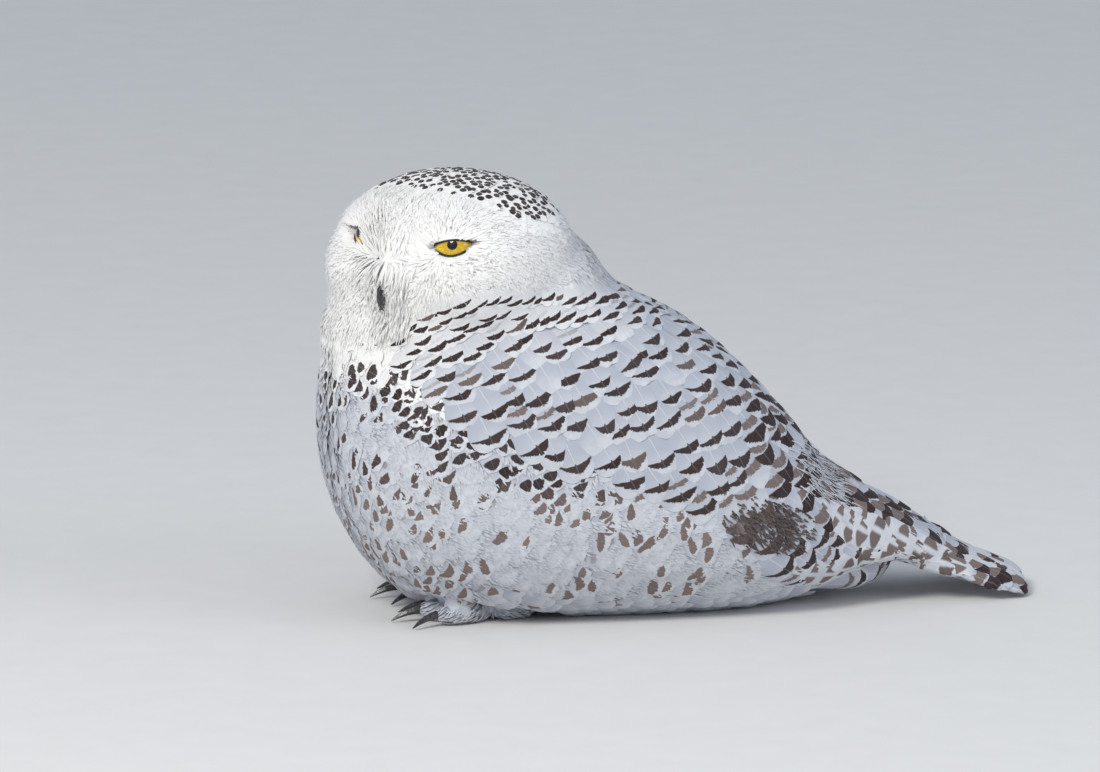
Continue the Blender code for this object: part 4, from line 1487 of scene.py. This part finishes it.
class OWL_OT_body_coat(bpy.types.Operator):
    """Lay the soft feathers of neck, breast, flanks and belly"""

    bl_idname = "owl.body_coat"
    bl_label = "Body coat"

    def execute(self, context):
        form = MADE["form"]
        random = np.random.default_rng(21)
        spacing = context.scene.owl_sizes.breast_spacing
        finish = vane_finish("body_feather", barbs=46.0, roughness=0.72, painted_shade_end=0.95, relief=0.0003)
        hood, body, belly = self.tracts()
        roots = form.rows(hood, random, gap=even(spacing * 0.72), steps=3)
        faint = (random.random(len(roots)) < 0.05) * (roots[:, 0] > -0.12) * 0.45
        add_vanes("hood", roots, finish, dict(strength=faint, tint=0.6, warm=whiteness(roots)))
        roots = form.rows(body, random, gap=breast_gap, steps=6)
        marks = self.breast_marks(roots, random)
        size = breast_gap(roots) / spacing
        lengths, widths = 0.032 * size ** 0.6, 0.0155 * size
        for name, part in (("flank_left", roots[:, 1] < 0), ("flank_right", roots[:, 1] >= 0)):
            own = part_of(marks, part)
            add_vanes(name, roots[part], finish, own, "flank", length=lengths[part], width=widths[part])
        roots = form.rows(belly, random, gap=even(spacing * 1.3), steps=2)
        add_vanes("belly", roots, finish, {})
        left = form.centres[:, 1] < 0
        finish = vane_finish("down", barbs=24.0, roughness=0.8, painted_shade_end=0.6, relief=0.0001)
        for name, part, gap, length in (
            ("hood_down", hood, 0.0016, 0.0140),
            ("down_left", body & left, 0.0022, 0.0120),
            ("down_right", body & ~left, 0.0026, 0.0120),
        ):
            roots = form.scatter(part, random, gap=gap)
            warm = whiteness(roots)
            if name != "hood_down":
                warm = warm * breast_warmth(roots)
            add_vanes(name, roots, finish, dict(warm=warm), "down", length=length)
        return {"FINISHED"}

    def tracts(self):
        """Faces of the form under the hood, the breast with the flanks, and the belly."""
        form = MADE["form"]
        whole = faces_of("neck", "trunk", "wing_left", "wing_right") & (form.centres[:, 0] < 0.19)
        head = faces_of("head") & (head_axes(form.centres)[2] < -0.045)
        hood, _, _ = tract_of(form.centres + unit(neck_lie(form.centres)) * 0.018)
        _, _, body = tract_of(form.centres + unit(trunk_lie(form.centres)) * 0.028)
        under = form.face_normals[:, 2] < -0.75
        return (whole & hood) | head, whole & body & ~under, whole & body & under

    def breast_marks(self, roots, random):
        """Dark spots at the breast's side, thin bars in front and pale bars low on the flank."""
        count = len(roots)
        x, y, z = (roots + unit(trunk_lie(roots)) * 0.024).T
        below = cape_low(x) - z
        band = ease(-0.238, -0.226, x) * (1 - ease(0.028, 0.046, below)) * (1 - ease(-0.10, -0.04, x))
        low = 1 - ease(0.085, 0.125, z)
        white = ease(0.174, 0.184, z)
        front = 1 - ease(-0.236, -0.215, x)
        chance = blend(0.48, 0.95, band) * (1 - white) * (1 - 0.4 * ease(0.0, 0.1, x))
        chance = np.maximum(chance, 0.8 * front * (1 - white))
        strength = (random.random(count) < chance) * random.uniform(0.95, 1.0, count)
        place = random.uniform(0.80, 0.86, count)
        curve = 0.08 + 0.12 * random.random(count)
        span = blend(random.uniform(0.65, 0.95, count), 0.95, front)
        span = blend(span, random.uniform(0.65, 0.9, count), band)
        return dict(
            strength=strength,
            place=place,
            thick=blend(blend(0.085, 0.030, front), 0.120, band),
            curve=curve,
            span=span,
            skew=blend(random.uniform(-0.05, 0.15, count), 0.0, band),
            tint=np.clip(0.8 * low + 0.25 * random.random(count) - 0.5 * band, 0, 1),
            second=(random.random(count) < 0.15) * 0.5 * (1 - white),
            gap=0.22,
            warm=breast_warmth(roots) * whiteness(roots),
        )


def cape_growth(places):
    """Share of full size: the feathers are smallest where the cape meets hood and breast."""
    x, y, z = places.T
    below = (cape_top(x) + 0.012 - z) / 0.055
    return np.clip(np.maximum(np.minimum(below, (x + 0.215) / 0.06), (x + 0.10) / 0.08), 0, 1)


def cape_gap(places):
    """Distance between the feather tips of wings and back."""
    sizes = bpy.context.scene.owl_sizes
    return blend(sizes.shoulder_spacing, sizes.wing_spacing, cape_growth(places))


class OWL_OT_wing_coat(bpy.types.Operator):
    """Lay the broad barred feathers of wings and back and the long flight feathers"""

    bl_idname = "owl.wing_coat"
    bl_label = "Wings and back"

    def execute(self, context):
        form = MADE["form"]
        random = np.random.default_rng(31)
        finish = vane_finish("wing_feather", barbs=70.0, roughness=0.6, painted_shade_end=1.0)
        whole = faces_of("neck", "trunk", "wing_left", "wing_right", "head")
        reach = cape_gap(form.centres)[:, None] * 2.75
        _, cape, _ = tract_of(form.centres + unit(cape_lie(form.centres)) * reach)
        wanted = whole & cape & (head_axes(form.centres)[2] < 0.0) & (form.face_normals[:, 2] > -0.8)
        roots = form.rows(wanted, random, gap=cape_gap, steps=14)
        gaps = cape_gap(roots)
        lengths, widths = gaps * 2.9, gaps * blend(2.5, 1.62, cape_growth(roots))
        marks = self.cape_marks(roots, random)
        for name, part in (("cape_left", roots[:, 1] < 0), ("cape_right", roots[:, 1] >= 0)):
            own = part_of(marks, part)
            add_vanes(name, roots[part], finish, own, "cape", length=lengths[part], width=widths[part])
        self.flights(random)
        return {"FINISHED"}

    def cape_marks(self, roots, random):
        """A wide bar at each tip, a dark blotch low on the wing and a dark crest over the tail."""
        x, y, z = roots.T
        count = len(roots)
        inwards = np.where(y < 0, 1.0, -1.0)
        fine = 1 - cape_growth(roots)
        low = (1 - ease(0.06, 0.10, z)) * (1 - ease(0.03, 0.10, x))
        blotch = spot(x, z, CAPE_BLOTCH)
        edge = ease(-0.01, 0.03, x) * ease(-0.024, -0.006, z + 0.62 * x - 0.142)
        crest = ease(0.062, 0.077, x) * ease(-0.018, -0.008, z - ridge_height(x))
        marked = 1 - spot(x, z, CAPE_CLEAR) > 0.45
        strength = (random.random(count) < 0.92) * random.uniform(0.97, 1.0, count)
        strength = np.where(fine > 0.6, 1.0, strength) * marked
        place = random.uniform(0.84, 0.89, count)
        thick = 0.054 + 0.018 * random.random(count) + 0.012 * fine + 0.02 * low + 0.060 * edge
        curve = random.uniform(0.14, 0.24, count)
        span = random.uniform(0.86, 1.0, count)
        skew = random.uniform(-0.07, -0.01, count)
        swell = random.uniform(0.1, 0.45, count)
        tint = np.where(random.random(count) < 0.12, 0.6, 0.1 * random.random(count)) * (1 - edge)
        second = (random.random(count) < 0.28 + 0.5 * edge) * 0.95 * (1 - fine) * marked
        return dict(
            strength=strength,
            place=place,
            thick=blend(thick, 0.20, np.maximum(blotch, crest)),
            curve=blend(curve, 0.30, low),
            span=span,
            skew=inwards * skew,
            swell=inwards * swell,
            tint=blend(tint, 0.55, blotch) * (1 - crest),
            second=second,
            gap=0.20,
            warm=0.7 * ease(0.3, 1.0, fine),
        )

    def flights(self, random):
        """Long feathers of the folded wing, under the coverts and out to its tip."""
        finish = vane_finish("flight_feather", barbs=110.0, roughness=0.55, painted_shade_end=0.5, torn=0.25)
        outer, inner = np.arange(9)[:, None] / 8, np.arange(8)[:, None] / 7
        for name, side in (("flights_left", -1), ("flights_right", 1)):
            first = np.array((0.035, side * 0.088, 0.060)) + outer * (0.050, -side * 0.030, -0.008)
            second = np.array((0.060, side * 0.066, 0.098)) + inner * (0.050, -side * 0.024, -0.030)
            roots = np.concatenate([first, second])
            lengths = np.concatenate([0.085 + 0.030 * outer, 0.070 + 0.020 * inner])[:, 0]
            widths = np.concatenate([0.030 - 0.006 * outer, np.full((8, 1), 0.032)])[:, 0]
            count = len(roots)
            marks = dict(
                strength=0.95, place=random.uniform(0.84, 0.92, count), thick=0.066, curve=0.02, span=0.80,
                second=0.95, gap=0.19, count=4.0, split=1.0, tint=random.uniform(0.4, 0.8, count),
            )
            add_vanes(name, roots, finish, marks, "flights", length=lengths, width=widths)


class OWL_OT_tail_coat(bpy.types.Operator):
    """Lay the tail feathers, the coverts over and under them and the soft patches of the rump"""

    bl_idname = "owl.tail_coat"
    bl_label = "Tail"

    def execute(self, context):
        form = MADE["form"]
        random = np.random.default_rng(41)
        self.tail_feathers(random)
        finish = vane_finish("covert_feather", barbs=60.0, roughness=0.66, torn=0.5)
        tail, upwards = faces_of("tail"), form.face_normals[:, 2]
        upper = tail & (upwards > 0) & (form.centres[:, 0] < 0.165)
        roots = form.rows(upper, random, gap=even(0.0105), steps=6)
        dark = 1 - ease(0.036, 0.050, np.abs(roots[:, 1]))
        strength = np.maximum(dark, 0.95 * (random.random(len(roots)) < 0.7))
        marks = dict(
            strength=strength, place=0.76, thick=blend(0.13, 0.25, dark), span=blend(0.72, 1.0, dark),
            split=1 - dark, tint=0.7 * (1 - dark), second=0.9 * dark, gap=0.42,
        )
        add_vanes("tail_coverts", roots, finish, marks)
        roots = form.rows(tail & (upwards <= 0.1), random, gap=even(0.0095), steps=4)
        self.rump(random)
        add_vanes("undertail", roots, finish, {})
        return {"FINISHED"}

    def tail_feathers(self, random, count=12):
        """The fan of long feathers, shortest and lowest at its two sides."""
        finish = vane_finish("tail_feather", barbs=110.0, roughness=0.58, painted_shade_end=0.5, torn=0.25)
        half = (count - 1) / 2
        across = (np.arange(count) - half) / half
        x = 0.128 + 0.006 * (1 - np.abs(across))
        roots = np.stack([x, 0.030 * across, 0.050 - 0.016 * across * across], 1)
        marks = dict(
            strength=random.random(count) < 0.5, place=random.uniform(0.80, 0.88, count), thick=0.028,
            curve=0.03, span=0.90, second=0.9 * (random.random(count) < 0.6), gap=0.26, count=3.0,
            tint=random.uniform(0.0, 0.3, count),
        )
        add_vanes("tail_feathers", roots, finish, marks, length=0.116 - 0.020 * across * across)

    def rump(self, random):
        """Soft brown patch low on the rump and the pale hairy feathers over the tail's base."""
        form = MADE["form"]
        finish = vane_finish("rump_feather", barbs=24.0, roughness=0.75, painted_shade_end=0.5, torn=0.5)
        x, y, z = form.centres.T
        share = np.where(y < 0, 1.0, 0.8)
        patch = spot(x, z, RUMP_PATCH) * (np.abs(y) > 0.05)
        roots = form.scatter(np.clip(1.4 * patch, 0, 1) * share * (patch > 0.1), random, gap=0.0016)
        tint = random.uniform(0.05, 0.65, len(roots))
        add_vanes("rump_patch", roots, finish, dict(strength=0.95, place=0.5, thick=0.9, span=2.0, tint=tint))
        fringe = spot(x, z, RUMP_FRINGE) * (np.abs(y) > 0.02)
        roots = form.scatter(fringe * (fringe > 0.1), random, gap=0.0020)
        add_vanes("rump_fringe", roots, finish, {})


class OWL_OT_leg_coat(bpy.types.Operator):
    """Lay the short hairy feathers of legs and toes"""

    bl_idname = "owl.leg_coat"
    bl_label = "Legs"

    def execute(self, context):
        random = np.random.default_rng(51)
        roots = MADE["form"].scatter(faces_of("leg_left", "leg_right"), random, gap=0.0026)
        add_vanes("leg_feathers", roots, vane_finish("leg_feather", barbs=40.0, roughness=0.75), {})
        return {"FINISHED"}


class OWL_OT_skin_marks(bpy.types.Operator):
    """Carry the coat's markings over to the skin under it"""

    bl_idname = "owl.skin_marks"
    bl_label = "Skin markings"

    def execute(self, context):
        skin = MADE["skin"]
        form = MADE["form"]
        bars = nearby_marks(form.points)
        hood, _, _ = tract_of(form.points)
        warm = hood * whiteness(form.points)
        add_vector(skin.data, "skin", np.stack([bars, MADE["bare"], warm], 1))
        return {"FINISHED"}


class OWL_OT_stage(bpy.types.Operator):
    """Set the pale floor, the soft light and the camera"""

    bl_idname = "owl.stage"
    bl_label = "Stage"

    def execute(self, context):
        scene = context.scene
        stage = scene.owl_stage
        self.floor(scene, stage)
        self.camera(scene, stage)
        self.light(scene, "key", (-2.2, -2.6, 2.7), 1.3, stage.key_power, (1.0, 0.97, 0.92))
        self.light(scene, "fill", (2.4, -2.0, 1.4), 2.0, stage.fill_power, (0.90, 0.94, 1.0))
        world = bpy.data.worlds.new("studio")
        world.use_nodes = True
        sky = world.node_tree.nodes["Background"]
        sky.inputs["Color"].default_value = (0.80, 0.88, 1.0, 1.0)
        sky.inputs["Strength"].default_value = stage.sky
        scene.world = world
        scene.view_settings.view_transform = "Standard"
        return {"FINISHED"}

    def floor(self, scene, stage):
        f = Finish("pale_floor")
        grain = f.noise(f.place(), 30.0, 4.0)
        coat = f.mix(grain, [0.94 * part for part in stage.floor], stage.floor)
        f.set(Base_Color=coat, Roughness=0.85, Specular_IOR_Level=0.2)
        f.bump(grain, 0.0005, 0.3)
        mesh = bpy.data.meshes.new("floor")
        half = 8.0
        corners = [(-half, -half, 0), (half, -half, 0), (half, half, 0), (-half, half, 0)]
        mesh.from_pydata(corners, [], [(0, 1, 2, 3)])
        mesh.materials.append(f.material)
        floor = bpy.data.objects.new("floor", mesh)
        scene.collection.objects.link(floor)

    def camera(self, scene, stage, azimuth=-11.0, elevation=11.0, sensor=36.0):
        a, e = math.radians(azimuth), math.radians(elevation)
        back = Vector((math.sin(a) * math.cos(e), -math.cos(a) * math.cos(e), math.sin(e)))
        aim = Vector((-0.0807, 0.0211, 0.1472))
        data = bpy.data.cameras.new("camera")
        data.sensor_width = sensor
        data.lens = sensor * stage.distance / stage.view_width
        data.clip_end = 100.0
        camera = bpy.data.objects.new("camera", data)
        camera.location = aim + back * stage.distance
        camera.rotation_euler = (-back).to_track_quat("-Z", "Y").to_euler()
        scene.collection.objects.link(camera)
        scene.camera = camera

    def light(self, scene, name, place, size, power, tone):
        data = bpy.data.lights.new(name, "AREA")
        data.shape = "DISK"
        data.size = size
        data.energy = power
        data.color = tone
        lamp = bpy.data.objects.new(name, data)
        lamp.location = place
        aim = Vector((-0.08, 0, 0.12)) - Vector(place)
        lamp.rotation_euler = aim.to_track_quat("-Z", "Y").to_euler()
        scene.collection.objects.link(lamp)


PIECES = (
    OWL_OT_skin, OWL_OT_eyes, OWL_OT_lids, OWL_OT_bill, OWL_OT_head_coat, OWL_OT_body_coat,
    OWL_OT_wing_coat, OWL_OT_tail_coat, OWL_OT_leg_coat, OWL_OT_skin_marks, OWL_OT_stage,
)
GROUPS = (("owl_sizes", OwlSizes), ("owl_colours", OwlColours), ("owl_stage", OwlStage))


class OWL_PT_panel(bpy.types.Panel):
    """Lists the owl's settings and pieces"""

    bl_label = "Snowy Owl"
    bl_idname = "OWL_PT_panel"
    bl_space_type = "VIEW_3D"
    bl_region_type = "UI"
    bl_category = "Owl"

    def draw(self, context):
        for piece in PIECES:
            self.layout.operator(piece.bl_idname)
        for name, group in GROUPS:
            box = self.layout.box()
            for key in group.__annotations__:
                box.prop(getattr(context.scene, name), key)


def register():
    for name, group in GROUPS:
        bpy.utils.register_class(group)
        setattr(bpy.types.Scene, name, bpy.props.PointerProperty(type=group))
    for piece in PIECES:
        bpy.utils.register_class(piece)
    bpy.utils.register_class(OWL_PT_panel)


def unregister():
    bpy.utils.unregister_class(OWL_PT_panel)
    for piece in reversed(PIECES):
        bpy.utils.unregister_class(piece)
    for name, group in reversed(GROUPS):
        delattr(bpy.types.Scene, name)
        bpy.utils.unregister_class(group)


def main():
    register()
    for piece in PIECES:
        group, name = piece.bl_idname.split(".")
        getattr(getattr(bpy.ops, group), name)()


if __name__ == "__main__":
    main()
